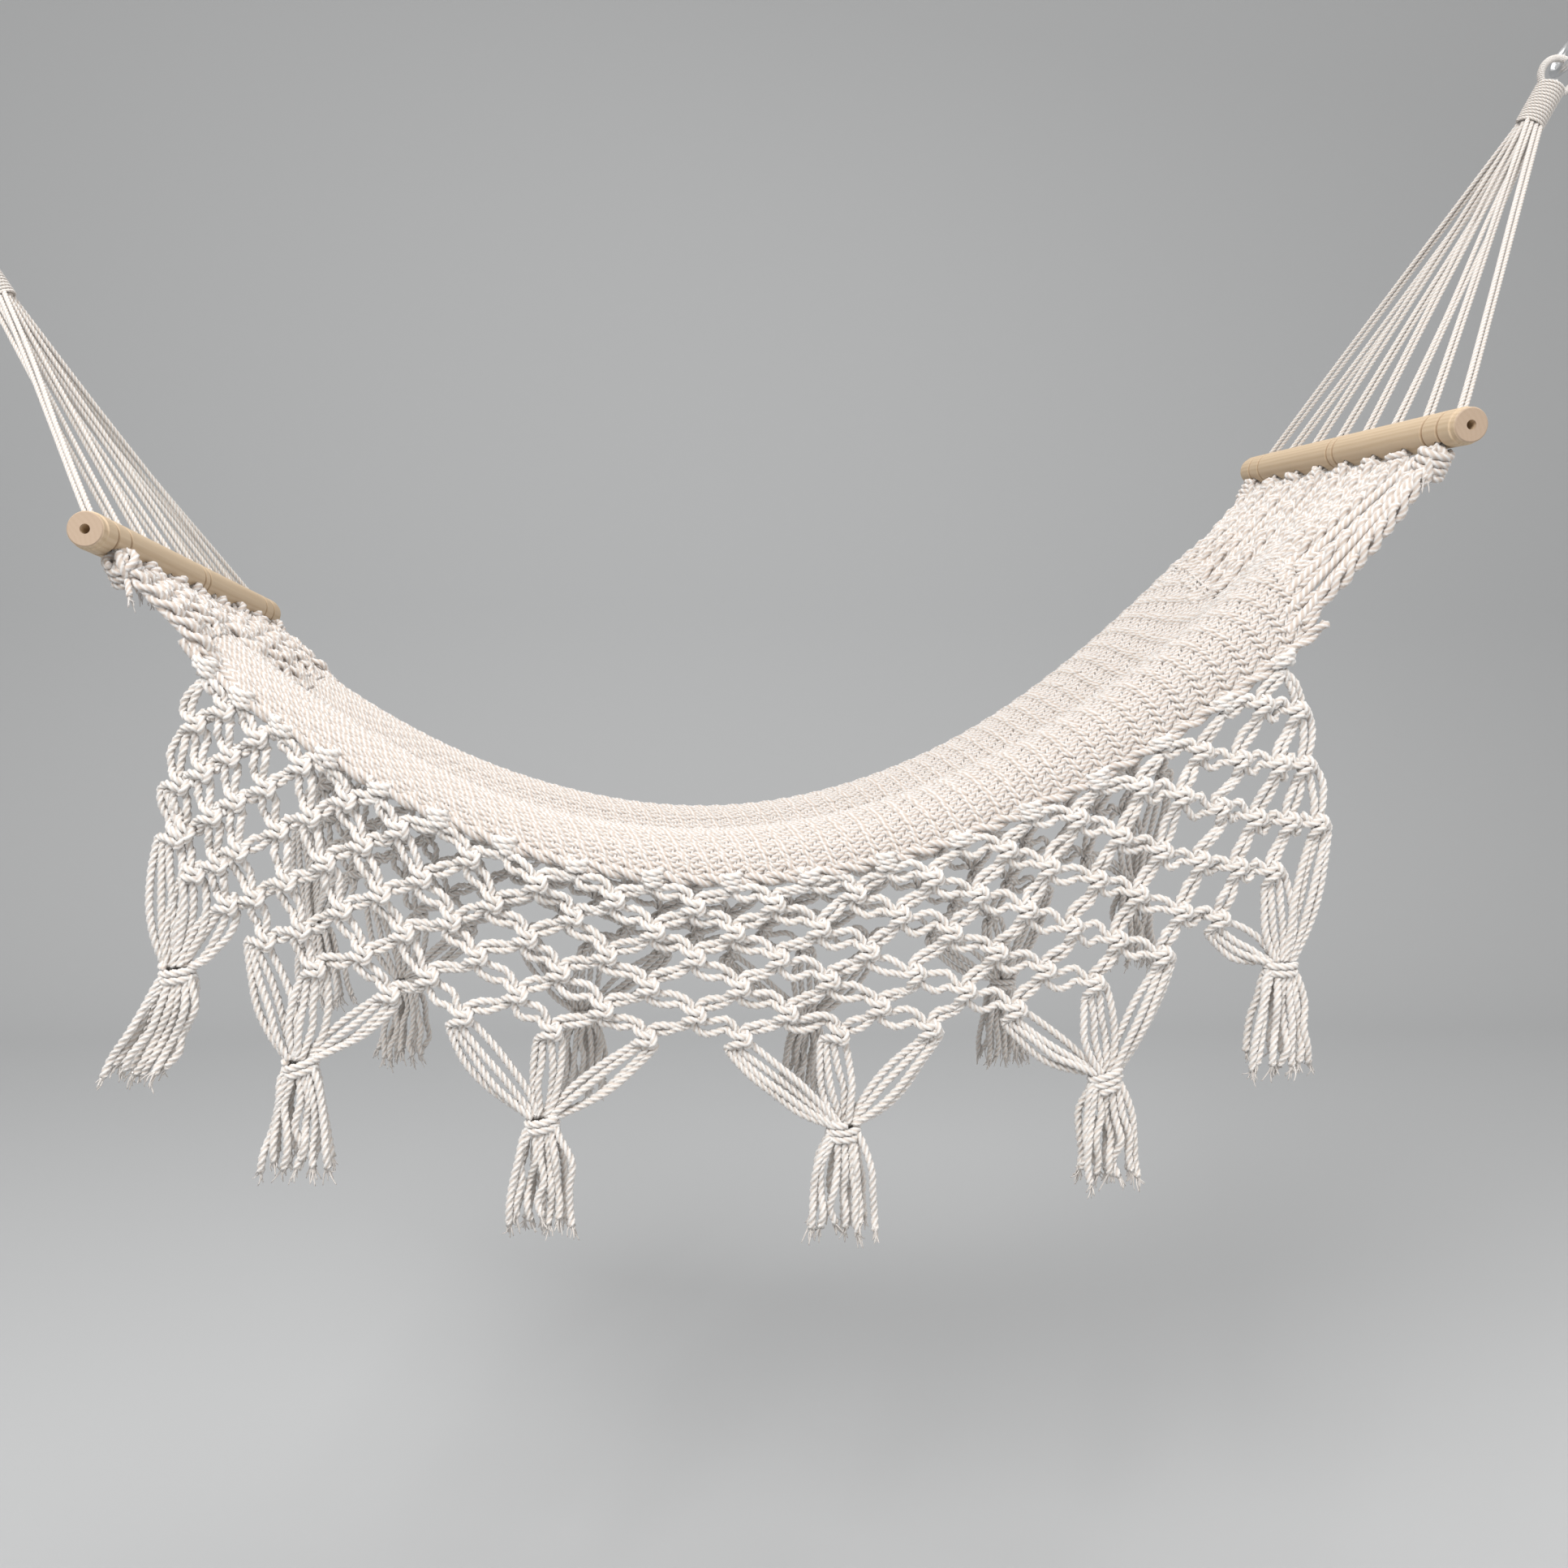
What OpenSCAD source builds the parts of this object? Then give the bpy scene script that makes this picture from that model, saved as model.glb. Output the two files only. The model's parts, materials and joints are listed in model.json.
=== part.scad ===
// Macrame rope hammock: a woven cord bed between two turned wooden spreader bars,
// fan-shaped clew cords up to a served eye and a steel ring at each end, and a
// knotted diamond fringe with tassels along both long sides.
// X runs along the hammock, Y across it, Z up. The origin is on the inner crown of
// the left ring, where its hook bears.

/* [Hanging] */
// Horizontal distance between the two spreader bars
bar_span = 998; // [800:1:1300]
// Height of the right bar above the left one
bar_rise = 119; // [60:1:180]
// Length of the left clew, from bar to whipped neck
left_clew = 274; // [220:1:400]
// Length of the right clew, from bar to whipped neck
right_clew = 323; // [240:1:420]
// Slope of the left clew above level, in degrees
left_slope = 56.9; // [45:0.1:70]
// Slope of the right clew above level, in degrees
right_slope = 61; // [45:0.1:70]

/* [Rings and eyes] */
// Radius of the ring's wire centreline
ring_r = 20; // [18:0.5:30]
// Radius of the ring's wire
wire_r = 3.5; // [2.5:0.1:4]
// Radius of the rope eye's centreline
eye_r = 15; // [14:0.5:22]
// Radius of the served rope that forms the eye
eye_rope_r = 3.5; // [2.5:0.1:4]
// Length of the whipped neck below the eye
neck_len = 38; // [28:1:60]
// Radius of the whipped neck
neck_r = 12.5; // [12:0.1:16]

/* [Spreader bars] */
// Length of a bar
bar_len = 385; // [320:1:480]
// Diameter of a bar
bar_d = 28; // [24:1:40]
// Diameter of a bar's end face
face_d = 26; // [20:1:28]
// Length of the turned disc at each end of a bar
face_len = 6; // [4:1:8]
// Length of the shoulder between an end disc and the first groove
shoulder_len = 17; // [14:1:20]
// Distance between the two grooves near each end
bead_len = 21; // [14:1:26]
// Distance between the two grooves at mid length
mid_bead_len = 11; // [8:1:16]
// Depth of a turned groove
groove = 2; // [1:0.1:3]
// How far each bar leans from level, in degrees
bar_tilt = 5; // [0:0.1:9]
// Room round a pair of clew cords in its cross hole
hole_play = 0.55; // [0.3:0.05:1]
// Distance from a bar's end to its outermost cross hole
hole_margin = 28; // [24:1:45]
// Radius of the lathe centre hole in each end face
centre_r = 3.6; // [2:0.1:4]
// Depth of the lathe centre hole
centre_depth = 14; // [8:1:18]

/* [Clew cords] */
// Radius of one clew cord
clew_r = 1.9; // [1.4:0.02:2.3]
// Gap between the two cords of a pair
clew_gap = 0.5; // [0.3:0.1:0.7]

/* [Bed] */
// Depth of the bed's rims below the straight line between the bars
bed_sag = 268; // [200:1:340]
// Depth of the selvedges below the line between the bars
edge_sag = 248; // [190:1:320]
// Half width of the bed across its rims, at mid length
rim_half = 112; // [90:1:140]
// Half width of the bed across its selvedges, at mid length
edge_half = 165; // [130:0.5:200]
// Depth of the trough between the rims, at mid length
trough = 45; // [25:1:70]
// Thickness of the weave
weave = 11; // [8:0.5:14]
// Horizontal distance from the left bar to the weave
left_head = 60; // [50:1:120]
// Horizontal distance from the right bar to the weave
right_head = 95; // [60:1:140]
// Radius of a lacing knot below a bar
lacing_knot_r = 12; // [9:0.5:14]
// Radius of a lacing strand
lacing_r = 5.5; // [4:0.5:7]
// Radius of the cord along each selvedge
edge_cord_r = 5; // [3.5:0.5:6]

/* [Fringe] */
// Knots along each selvedge
columns = 18; // [12:6:24]
// Rows of knots below the selvedge
rows = 6; // [4:2:8]
// Height of the first row against each of the others
first_row = 0.7; // [0.5:0.01:1]
// Drop of the fringe at mid length, over all its rows
net_drop = 115; // [90:1:150]
// Extra drop where the selvedge is steep
net_extra = 16; // [0:1:40]
// How far the fringe spreads outwards towards its ends
net_fan = 48; // [0:1:70]
// Radius of a leg, which is a pair of cords
leg_r = 4; // [3:0.5:5]
// Radius of a square knot
knot_r = 8; // [6:0.5:10]

/* [Tassels] */
// How far the outer gathering knots stand out beyond their columns
gather_fan = 14; // [0:1:24]
// Drop from the fringe's last row to a gathering knot
gather_drop = 72; // [55:1:100]
// Radius of a gathering knot
gather_r = 13; // [10:0.5:16]
// Length of the free strands below a gathering knot
strand_len = 78; // [60:1:110]
// Radius of the free strands at their tips
spread_r = 24; // [16:1:30]

/* [Hidden] */

CLEWS = 8;
PANELS = 6;
CORD = [0.94, 0.91, 0.86];
WOOD = [0.82, 0.68, 0.48];
STEEL = [0.75, 0.76, 0.78];
// Least gap between pieces that move past each other
clearance = 0.6;
// Room between the eye's rope and the ring's wire, so that the eye can turn
eye_play = 3;
// How far a cord is bedded in the piece that holds it
bedding = 3;
// Share of the bed's half width that lies inside a rim
rim_share = 0.66;
// Distance over which a bar's lean dies out along the bed
lean_reach = 0.35 * bar_span;
// Distance over which the bed opens from flat into its trough
trough_reach = 0.2 * bar_span;
// Distance over which the selvedges start to droop
droop_reach = 0.09 * bar_span;
// Heights where the curves of the rims and selvedges would meet the bars
rim_ends = [-5, 22];
edge_ends = [-35, -56];
// Sections that the bed is lofted through
stations = 26;

function unit(v) = v / norm(v);
function mix(a, b, t) = a + (b - a) * t;
function smooth(t) = let (c = min(max(t, 0), 1)) c * c * (3 - 2 * c);

// Directions: from each ring down its clew to the bar
left_pull = [cos(left_slope), 0, -sin(left_slope)];
right_pull = [-cos(right_slope), 0, -sin(right_slope)];
// Distances along a clew, from the ring's inner crown
bear_at = 2 * ring_r - wire_r;
seat = wire_r + eye_rope_r + eye_play;
eye_at = bear_at + eye_r - seat;
neck_at = eye_at + eye_r - bedding;
throat_at = neck_at + neck_len;
left_bar_at = left_pull * (throat_at + left_clew);
right_bar_at = left_bar_at + [bar_span, 0, bar_rise];
right_origin = right_bar_at - right_pull * (throat_at + right_clew);

// Distance between the two cords of a pair, and the cross hole that holds them
pitch = 2 * clew_r + clew_gap;
hole_r = pitch / 2 + clew_r + hole_play;

// What differs between the two ends: origin, pull, lean
function end_of(e) = e == "left" ? [[0, 0, 0], left_pull, -bar_tilt] : [right_origin, right_pull, bar_tilt];
function bar_at(e) = e == "left" ? left_bar_at : right_bar_at;
function hole_y(i) = (i - (CLEWS - 1) / 2) * (bar_len - 2 * hole_margin) / (CLEWS - 1);
// A point given along the bar, across the clew and up the clew, leaning with the bar
function on_bar(e, y, across, up) = let (f = end_of(e), p = f[1], v = [-p[2], 0, p[0]],
    q = [0, y, 0] + v * across - p * up)
    bar_at(e) + [q[0], q[1] * cos(f[2]) - q[2] * sin(f[2]), q[1] * sin(f[2]) + q[2] * cos(f[2])];

// The bed: x from the left bar, t from -1 at the front selvedge to 1 at the rear one
function hung(x, ends, sag) = let (s = x / bar_span)
    ends[0] * (1 - s) + (bar_rise + ends[1]) * s - 4 * sag * s * (1 - s);
function from_bar(x) = min(x, bar_span - x);
function lean(x, y) = y * tan(bar_tilt) *
    (smooth(1 - (bar_span - x) / lean_reach) - smooth(1 - x / lean_reach));
function rim_z(x) = hung(x, rim_ends, bed_sag);
function droop(x) = (rim_z(x) - hung(x, edge_ends, edge_sag)) * smooth(from_bar(x) / droop_reach);
function half_flat() = hole_y(CLEWS - 1);
function bed_y(x, t) = let (a = abs(t), w = smooth(from_bar(x) / trough_reach),
    inner = rim_half * a / rim_share,
    outer = rim_half + (edge_half - rim_half) * sin(90 * (a - rim_share) / (1 - rim_share)))
    sign(t) * mix(half_flat() * a, a < rim_share ? inner : outer, w);
function bed_z(x, t) = let (a = abs(t), w = smooth(from_bar(x) / trough_reach))
    rim_z(x) + (a < rim_share ? -trough * w * (1 + cos(180 * a / rim_share)) / 2
        : -droop(x) * (1 - cos(90 * (a - rim_share) / (1 - rim_share))));
function bed_point(x, t) = let (y = bed_y(x, t))
    [left_bar_at[0] + x, y, left_bar_at[2] + bed_z(x, t) + lean(x, y)];

// The fringe: c counts the knots along a selvedge, r the rows below it
first_x = left_head + 12;
last_x = bar_span - right_head - 31;
// How much closer the columns stand at both ends, and at the left end, than on average
crowding = 0.242;
left_crowding = 0.233;
function edge_x(c) = let (q = c / (columns - 1))
    mix(first_x, last_x, q - crowding * sin(360 * q) / (2 * PI) - left_crowding * q * (1 - q));
// Runs from about -0.6 at the left end through -1 and 1 to about 0.6 at the right end
function wave(c) = sin(288 * (c / (columns - 1) - 0.5));
function edge_point(side, c) = bed_point(edge_x(c), side) + [0, side * edge_cord_r, -edge_cord_r];
function row_at(r) = (first_row * min(r, 1) + max(r - 1, 0)) / (rows - 1 + first_row);
function net(side, c, r) = edge_point(side, c) + row_at(r) *
    [net_fan * wave(c), 0, -net_drop - net_extra * wave(c) * wave(c)];
per_panel = columns / PANELS;
function gather_at(side, k) = let (c = per_panel * k + (per_panel - 1) / 2)
    net(side, c, rows) + [gather_fan * wave(c), 0, -gather_drop];

// A tube with n sides along points, each ring square to the run of the points
module tube(points, r, n) {
    last = len(points) - 1;
    rings = [for (i = [0:last])
        let (d = unit(points[min(i + 1, last)] - points[max(i - 1, 0)]),
            a = unit(cross(d, abs(d[1]) > 0.8 ? [1, 0, 0] : [0, 1, 0])), b = cross(d, a))
        for (k = [0:n - 1]) points[i] + r * (cos(360 * k / n) * a + sin(360 * k / n) * b)];
    sides = [for (i = [0:last - 1]) for (k = [0:n - 1])
        [i * n + k, i * n + (k + 1) % n, (i + 1) * n + (k + 1) % n, (i + 1) * n + k]];
    polyhedron(rings, concat([[for (k = [n - 1:-1:0]) k]], sides, [[for (k = [0:n - 1]) last * n + k]]));
}

// A straight six-sided bar between two points
module strut(p, q, r) {
    d = q - p;
    translate(p) rotate([0, acos(d[2] / norm(d)), atan2(d[1], d[0])])
        cylinder(h = norm(d), r = r, $fn = 6);
}

// Turns local +Z up the clew at one end, from a point down the clew
module along_clew(e, at) {
    f = end_of(e);
    translate(f[0] + f[1] * at) rotate([0, e == "left" ? left_slope - 90 : 90 - right_slope, 0])
        children();
}

module ring(e) {
    color(STEEL) along_clew(e, ring_r - wire_r) rotate([0, 90, 0])
        rotate_extrude($fn = 64) translate([ring_r, 0]) circle(wire_r, $fn = 24);
}

module eye(e) {
    color(CORD) along_clew(e, eye_at) rotate([90, 0, 0])
        rotate_extrude($fn = 64) translate([eye_r, 0]) circle(eye_rope_r, $fn = 24);
}

// The whipping has a raised band at each end of the neck
module neck(e) {
    band = neck_len / 6;
    color(CORD) along_clew(e, throat_at) rotate_extrude($fn = 48) polygon([[0, 0],
        [neck_r, 0], [neck_r + 1, 1], [neck_r + 1, band], [neck_r, band + 1],
        [neck_r - 1, neck_len - band - 1], [neck_r, neck_len - band],
        [neck_r, neck_len - 1], [neck_r - 2, neck_len], [0, neck_len]]);
}

// Half of a bar's turned outline: radius against distance from mid length
function bar_outline() = let (r = bar_d / 2, h = bar_len / 2, f = face_d / 2, g = groove,
    mid = mid_bead_len / 2, disc = h - face_len, outer = disc - shoulder_len, inner = outer - bead_len)
    [[r, mid - g], [r - g, mid], [r, mid + g],
     [r, inner - g], [r - g, inner], [r, inner + g], [r, outer - g], [r - g, outer], [r, outer + g],
     [r, disc - 1], [f, disc], [f, h - 1], [f - 1, h]];

// Eight cross holes run in line with the clew, and each end has its lathe centre hole
module bar(e) {
    half = bar_outline();
    f = end_of(e);
    color(WOOD) translate(bar_at(e)) rotate([f[2], 0, 0]) difference() {
        rotate([-90, 0, 0]) rotate_extrude($fn = 64) polygon(concat([[0, -bar_len / 2]],
            [for (i = [len(half) - 1:-1:0]) [half[i][0], -half[i][1]]], half, [[0, bar_len / 2]]));
        for (i = [0:CLEWS - 1]) translate([0, hole_y(i), 0])
            rotate([0, e == "left" ? left_slope - 90 : 90 - right_slope, 0])
                cylinder(h = 2 * bar_d, r = hole_r, center = true, $fn = 32);
        for (s = [-1, 1]) translate([0, s * bar_len / 2, 0]) rotate([s * 90, 0, 0])
            translate([0, 0, -1]) cylinder(h = centre_depth + 1, r = centre_r, $fn = 32);
    }
}

// Each pair runs from its place in the neck to its hole, then through the bar
module clew(e, i) {
    f = end_of(e);
    p = f[1];
    v = [-p[2], 0, p[0]];
    column = floor(i / 2) - (CLEWS / 2 - 1) / 2;
    layer = i % 2 == 0 ? pitch : -pitch;
    color(CORD) for (s = [-1, 1]) tube([
        f[0] + p * (throat_at - bedding) + [0, column * pitch, 0] + v * (layer + s * pitch / 2),
        on_bar(e, hole_y(i), s * pitch / 2, bar_d / 2 + 3),
        on_bar(e, hole_y(i), s * pitch / 2, bar_d / 2),
        on_bar(e, hole_y(i), s * pitch / 2, -bar_d / 2 - 4)], clew_r, 8);
}

// One wrapped knot below each cross hole, with the doubled strand that joins it to the weave
module lacing(e) {
    x = e == "left" ? left_head : bar_span - right_head;
    top = -bar_d / 2 - 4 - clearance;
    color(CORD) for (i = [0:CLEWS - 1]) {
        knot = on_bar(e, hole_y(i), 0, top - lacing_knot_r);
        translate(knot) rotate([0, e == "left" ? left_slope - 90 : 90 - right_slope, 0])
            cylinder(h = 2 * lacing_knot_r, r = lacing_knot_r, center = true, $fn = 32);
        strut(knot, bed_point(x, hole_y(i) / half_flat() * 0.97), lacing_r);
    }
}

// A closed trough of even thickness, lofted between the two heads
module bed() {
    across = 20;
    function section(x) = [
        for (j = [0:across]) bed_point(x, 2 * j / across - 1) + [0, 0, weave / 2],
        for (j = [across:-1:0]) bed_point(x, 2 * j / across - 1) - [0, 0, weave / 2]];
    n = 2 * (across + 1);
    points = [for (i = [0:stations])
        each section(mix(left_head, bar_span - right_head, i / stations))];
    // Every quad is split, because its corners are seldom in one plane
    skin = [for (i = [0:stations - 1]) for (k = [0:n - 1])
        let (a = i * n + k, b = i * n + (k + 1) % n, c = b + n, d = a + n) each [[a, c, b], [a, d, c]]];
    caps = [for (j = [0:across - 1]) let (a = j, b = j + 1, c = n - 2 - j, d = n - 1 - j, z = stations * n)
        each [[a, b, c], [a, c, d], [z + a, z + c, z + b], [z + a, z + d, z + c]]];
    color(CORD) polyhedron(points, concat(skin, caps));
}

module edge_cord(side) {
    rings = 2 * stations;
    color(CORD) tube([for (i = [0:rings])
        bed_point(mix(left_head, bar_span - right_head, i / rings), side)
            + [0, side * edge_cord_r, 0]], edge_cord_r, 8);
}

// A group of wrapped hitches, one where each column of the fringe starts
module edge_hitches(side) {
    color(CORD) for (c = [0:columns - 1]) {
        a = bed_point(edge_x(c) - 9, side) + [0, side * edge_cord_r, 0];
        b = bed_point(edge_x(c) + 9, side) + [0, side * edge_cord_r, 0];
        strut(a, b, edge_cord_r + 3);
    }
}

// A straight flat leg between two points of a panel
module leg(p, q) {
    d = q - p;
    translate(p) rotate(atan2(d[1], d[0])) translate([-leg_r / 2, -leg_r])
        square([norm(d) + leg_r, 2 * leg_r]);
}

// Three columns of the diamond net with their gathering legs, as one flat openwork panel.
// Each panel turns to follow the selvedge, so that it meets its neighbours edge to edge.
module fringe(side, k) {
    first = per_panel * k;
    last = first + per_panel - 1;
    start = net(side, max(first - 0.5, 0), 0);
    run = net(side, min(last + 0.5, columns - 1), 0) - start;
    turn = atan2(run[1], run[0]);
    function flat(p) = [(p[0] - start[0]) / cos(turn), p[2]];
    function knot(c, r) = flat(net(side, c, r));
    gather = flat(gather_at(side, k));
    color(CORD) translate([start[0], start[1], 0]) rotate([90, 0, turn])
        linear_extrude(2 * leg_r, center = true) {
            for (r = [0:rows - 1]) for (c = [first:last]) for (h = [-0.5, 0.5]) {
                even = r % 2 == 0;
                if (c + h > 0 && c + h < columns - 1)
                    leg(knot(even ? c : c + h, r), knot(even ? c + h : c, r + 1));
            }
            for (c = [0, columns - 1]) if (c >= first && c <= last)
                for (r = [0:2:rows - 2]) leg(knot(c, r), knot(c, r + 2));
            for (r = [1:rows]) for (c = [first:last]) if (c < columns - 1 || r % 2 == 0)
                translate(knot(r % 2 == 0 ? c : c + 0.5, r)) circle(knot_r, $fn = 8);
            for (c = [first:last]) {
                p = knot(c, rows);
                leg(p, gather + unit(p - gather) * (gather_r + clearance + 1.5 * leg_r));
            }
        }
}

// The gathering knot is round its own pivot, so that it turns clear of the legs
module tassel(side, k) {
    color(CORD) translate(gather_at(side, k)) {
        sphere(gather_r, $fn = 48);
        translate([0, 0, -gather_r - strand_len]) cylinder(h = strand_len + gather_r / 2,
            r1 = spread_r, r2 = gather_r * 0.7, $fn = 48);
    }
}

for (e = ["left", "right"]) {
    ring(e);
    eye(e);
    neck(e);
    bar(e);
    lacing(e);
    for (i = [1:CLEWS]) clew(e, i - 1);
}
bed();
for (s = [-1, 1]) {
    name = s < 0 ? "front" : "rear";
    edge_cord(s);
    edge_hitches(s);
    for (k = [1:PANELS]) fringe(s, k - 1);
    for (k = [1:PANELS]) tassel(s, k - 1);
}
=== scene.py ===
"""The looks of a macrame rope hammock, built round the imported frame, in metres and degrees."""
import json
import math

import bpy
import numpy as np
from mathutils import Matrix, Vector


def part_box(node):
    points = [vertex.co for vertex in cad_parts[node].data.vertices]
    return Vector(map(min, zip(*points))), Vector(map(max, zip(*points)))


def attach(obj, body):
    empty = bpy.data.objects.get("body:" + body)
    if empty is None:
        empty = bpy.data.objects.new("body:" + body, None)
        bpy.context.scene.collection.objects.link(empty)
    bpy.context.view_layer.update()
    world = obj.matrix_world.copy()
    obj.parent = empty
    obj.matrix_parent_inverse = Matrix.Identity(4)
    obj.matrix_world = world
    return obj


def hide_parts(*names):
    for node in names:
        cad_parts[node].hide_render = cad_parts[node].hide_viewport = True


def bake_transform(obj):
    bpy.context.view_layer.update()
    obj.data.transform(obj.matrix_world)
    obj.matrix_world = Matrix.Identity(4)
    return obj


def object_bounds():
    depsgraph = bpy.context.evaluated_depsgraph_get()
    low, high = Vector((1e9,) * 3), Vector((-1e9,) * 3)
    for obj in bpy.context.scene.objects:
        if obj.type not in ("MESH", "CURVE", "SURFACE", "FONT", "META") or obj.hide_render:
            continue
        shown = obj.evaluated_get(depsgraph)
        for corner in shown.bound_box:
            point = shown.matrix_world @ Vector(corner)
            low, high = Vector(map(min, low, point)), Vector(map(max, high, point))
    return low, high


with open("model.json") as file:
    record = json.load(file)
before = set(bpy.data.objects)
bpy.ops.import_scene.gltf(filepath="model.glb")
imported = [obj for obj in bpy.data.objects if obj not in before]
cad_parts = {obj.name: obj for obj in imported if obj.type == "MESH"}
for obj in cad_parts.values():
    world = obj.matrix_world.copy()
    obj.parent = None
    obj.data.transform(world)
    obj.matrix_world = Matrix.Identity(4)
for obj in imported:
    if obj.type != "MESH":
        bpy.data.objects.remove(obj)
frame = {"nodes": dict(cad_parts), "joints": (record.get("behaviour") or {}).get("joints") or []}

CAD_BOUNDS = [list(map(float, corner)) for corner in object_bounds()]


# ---------------------------------------------------------------- the frame's own places

def middle(node):
    low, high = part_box(node)
    return (np.array(low) + np.array(high)) / 2


def joint(name):
    return next(j for j in frame["joints"] if j["name"] == name)


LEFT_BAR, RIGHT_BAR = middle("left_bar"), middle("right_bar")
BAR_SPAN, _, BAR_RISE = RIGHT_BAR - LEFT_BAR
BAR_LENGTH, BAR_RADIUS, BAR_LEAN = 0.385, 0.014, 5.0
CLEWS = 8  # pairs of cords at each end, one pair to a cross hole
HOLE_MARGIN = 0.028
HOLE_PITCH = (BAR_LENGTH - 2 * HOLE_MARGIN) / (CLEWS - 1)
ENDS = ("left", "right")
PULL = {e: np.array(joint(f"{e}_bar_roll")["axis"], float) for e in ENDS}  # from the rings down the clews
BEARING = {e: np.array(joint(f"{e}_bar_roll")["pos_m"], float) for e in ENDS}
BAR = {"left": LEFT_BAR, "right": RIGHT_BAR}
LEAN = {"left": -BAR_LEAN, "right": BAR_LEAN}
SIDES = {"front": -1.0, "rear": 1.0}
MIDDLE_X = (CAD_BOUNDS[0][0] + CAD_BOUNDS[1][0]) / 2

# The woven bed, as part.scad shapes it. Its rim is the crest on each side, above the selvedge.
BED_SAG, EDGE_SAG = 0.268, 0.248
RIM_ENDS, EDGE_ENDS = (-0.005, 0.022), (-0.035, -0.056)  # heights above the bars' line, left and right
RIM_HALF, EDGE_HALF = 0.112, 0.165
FLAT_HALF = (CLEWS - 1) / 2 * HOLE_PITCH
RIM_SHARE = 0.66  # where the rim lies between the middle and the selvedge
TROUGH = 0.045
HEAD = {"left": 0.060, "right": BAR_SPAN - 0.095}  # where the weave starts and ends
LEAN_REACH, TROUGH_REACH, DROOP_REACH = 0.35 * BAR_SPAN, 0.2 * BAR_SPAN, 0.09 * BAR_SPAN
EDGE_CORD = 0.005

# The fringe, as part.scad shapes it
COLUMNS, ROWS, PANELS = 18, 6, 6
PER_PANEL = COLUMNS // PANELS
FIRST_X, LAST_X = HEAD["left"] + 0.012, HEAD["right"] - 0.031
CROWDING, LEFT_CROWDING = 0.242, 0.233  # how much the columns crowd at both ends, and at the left one
NET_FAN, NET_DROP, NET_EXTRA = 0.048, 0.115, 0.016
NET_WAVE = 288  # degrees of the wave that the fan and the extra depth follow, over all columns
FIRST_ROW = 0.7  # height of the first row against each of the others

# The cords
BED_ROPE, BED_ROPES = 0.0053, 64
CORD = 0.0065
CLEW_CORD = 0.0044
LAY = 2.8  # length of one turn of a rope's strands, in its diameters


def smooth(t):
    c = np.clip(t, 0, 1)
    return c * c * (3 - 2 * c)


def mix(a, b, t):
    return a + (b - a) * t


def unit(v):
    return v / np.linalg.norm(v)


def hung(x, ends, sag):
    """Height of a sagging line at x, between its two ends."""
    s = x / BAR_SPAN
    return ends[0] * (1 - s) + (BAR_RISE + ends[1]) * s - 4 * sag * s * (1 - s)


def bed_point(x, t):
    """The bed's middle surface: x from the left bar, t from -1 at the front selvedge to 1 at the rear one."""
    x, t = np.broadcast_arrays(np.asarray(x, float), np.asarray(t, float))
    a, side = np.abs(t), np.sign(t)
    from_bar = np.minimum(x, BAR_SPAN - x)
    opened = smooth(from_bar / TROUGH_REACH)
    rim = hung(x, RIM_ENDS, BED_SAG)
    droop = (rim - hung(x, EDGE_ENDS, EDGE_SAG)) * smooth(from_bar / DROOP_REACH)
    past = np.clip((a - RIM_SHARE) / (1 - RIM_SHARE), 0, 1.2) * math.pi / 2
    inner = a < RIM_SHARE
    across = np.where(inner, RIM_HALF * a / RIM_SHARE, RIM_HALF + (EDGE_HALF - RIM_HALF) * np.sin(past))
    y = side * mix(FLAT_HALF * a, across, opened)
    dip = -TROUGH * opened * (1 + np.cos(math.pi * a / RIM_SHARE)) / 2
    z = rim + np.where(inner, dip, -droop * (1 - np.cos(past)))
    lean = math.tan(math.radians(BAR_LEAN)) * (
        smooth(1 - (BAR_SPAN - x) / LEAN_REACH) - smooth(1 - x / LEAN_REACH))
    return np.stack([LEFT_BAR[0] + x, y, LEFT_BAR[2] + z + y * lean], -1)


def bed_normal(x, t):
    e = 1e-3
    along = bed_point(x + e, t) - bed_point(x - e, t)
    across = bed_point(x, t + e) - bed_point(x, t - e)
    n = np.cross(along, across)
    return n / np.linalg.norm(n, axis=-1, keepdims=True)


def edge_x(c):
    """Where column c of the fringe hangs from the selvedge."""
    q = c / (COLUMNS - 1)
    bunch = CROWDING * math.sin(2 * math.pi * q) / (2 * math.pi) + LEFT_CROWDING * q * (1 - q)
    return mix(FIRST_X, LAST_X, q - bunch)


def wave(c):
    return math.sin(math.radians(NET_WAVE * (c / (COLUMNS - 1) - 0.5)))


def edge_point(side, c):
    return bed_point(edge_x(c), side) + [0, side * EDGE_CORD, -EDGE_CORD]


def net(side, c, r):
    """The net's knot in column c and row r. Row 0 is the selvedge, and odd rows lie half a column over."""
    drop = NET_DROP + NET_EXTRA * wave(c) ** 2
    share = (FIRST_ROW * min(r, 1) + max(r - 1, 0)) / (ROWS - 1 + FIRST_ROW)
    return edge_point(side, c) + np.array([NET_FAN * wave(c), 0, -drop]) * share


def on_bar(end, y, across, up):
    """A point along the bar, across its clew and up its clew, leaning with the bar."""
    p = PULL[end]
    q = np.array([0, y, 0]) + np.array([-p[2], 0, p[0]]) * across - p * up
    c, s = math.cos(math.radians(LEAN[end])), math.sin(math.radians(LEAN[end]))
    return BAR[end] + [q[0], q[1] * c - q[2] * s, q[1] * s + q[2] * c]


def hole_y(i):
    return (i - (CLEWS - 1) / 2) * HOLE_PITCH


# ---------------------------------------------------------------- rope meshes

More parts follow.
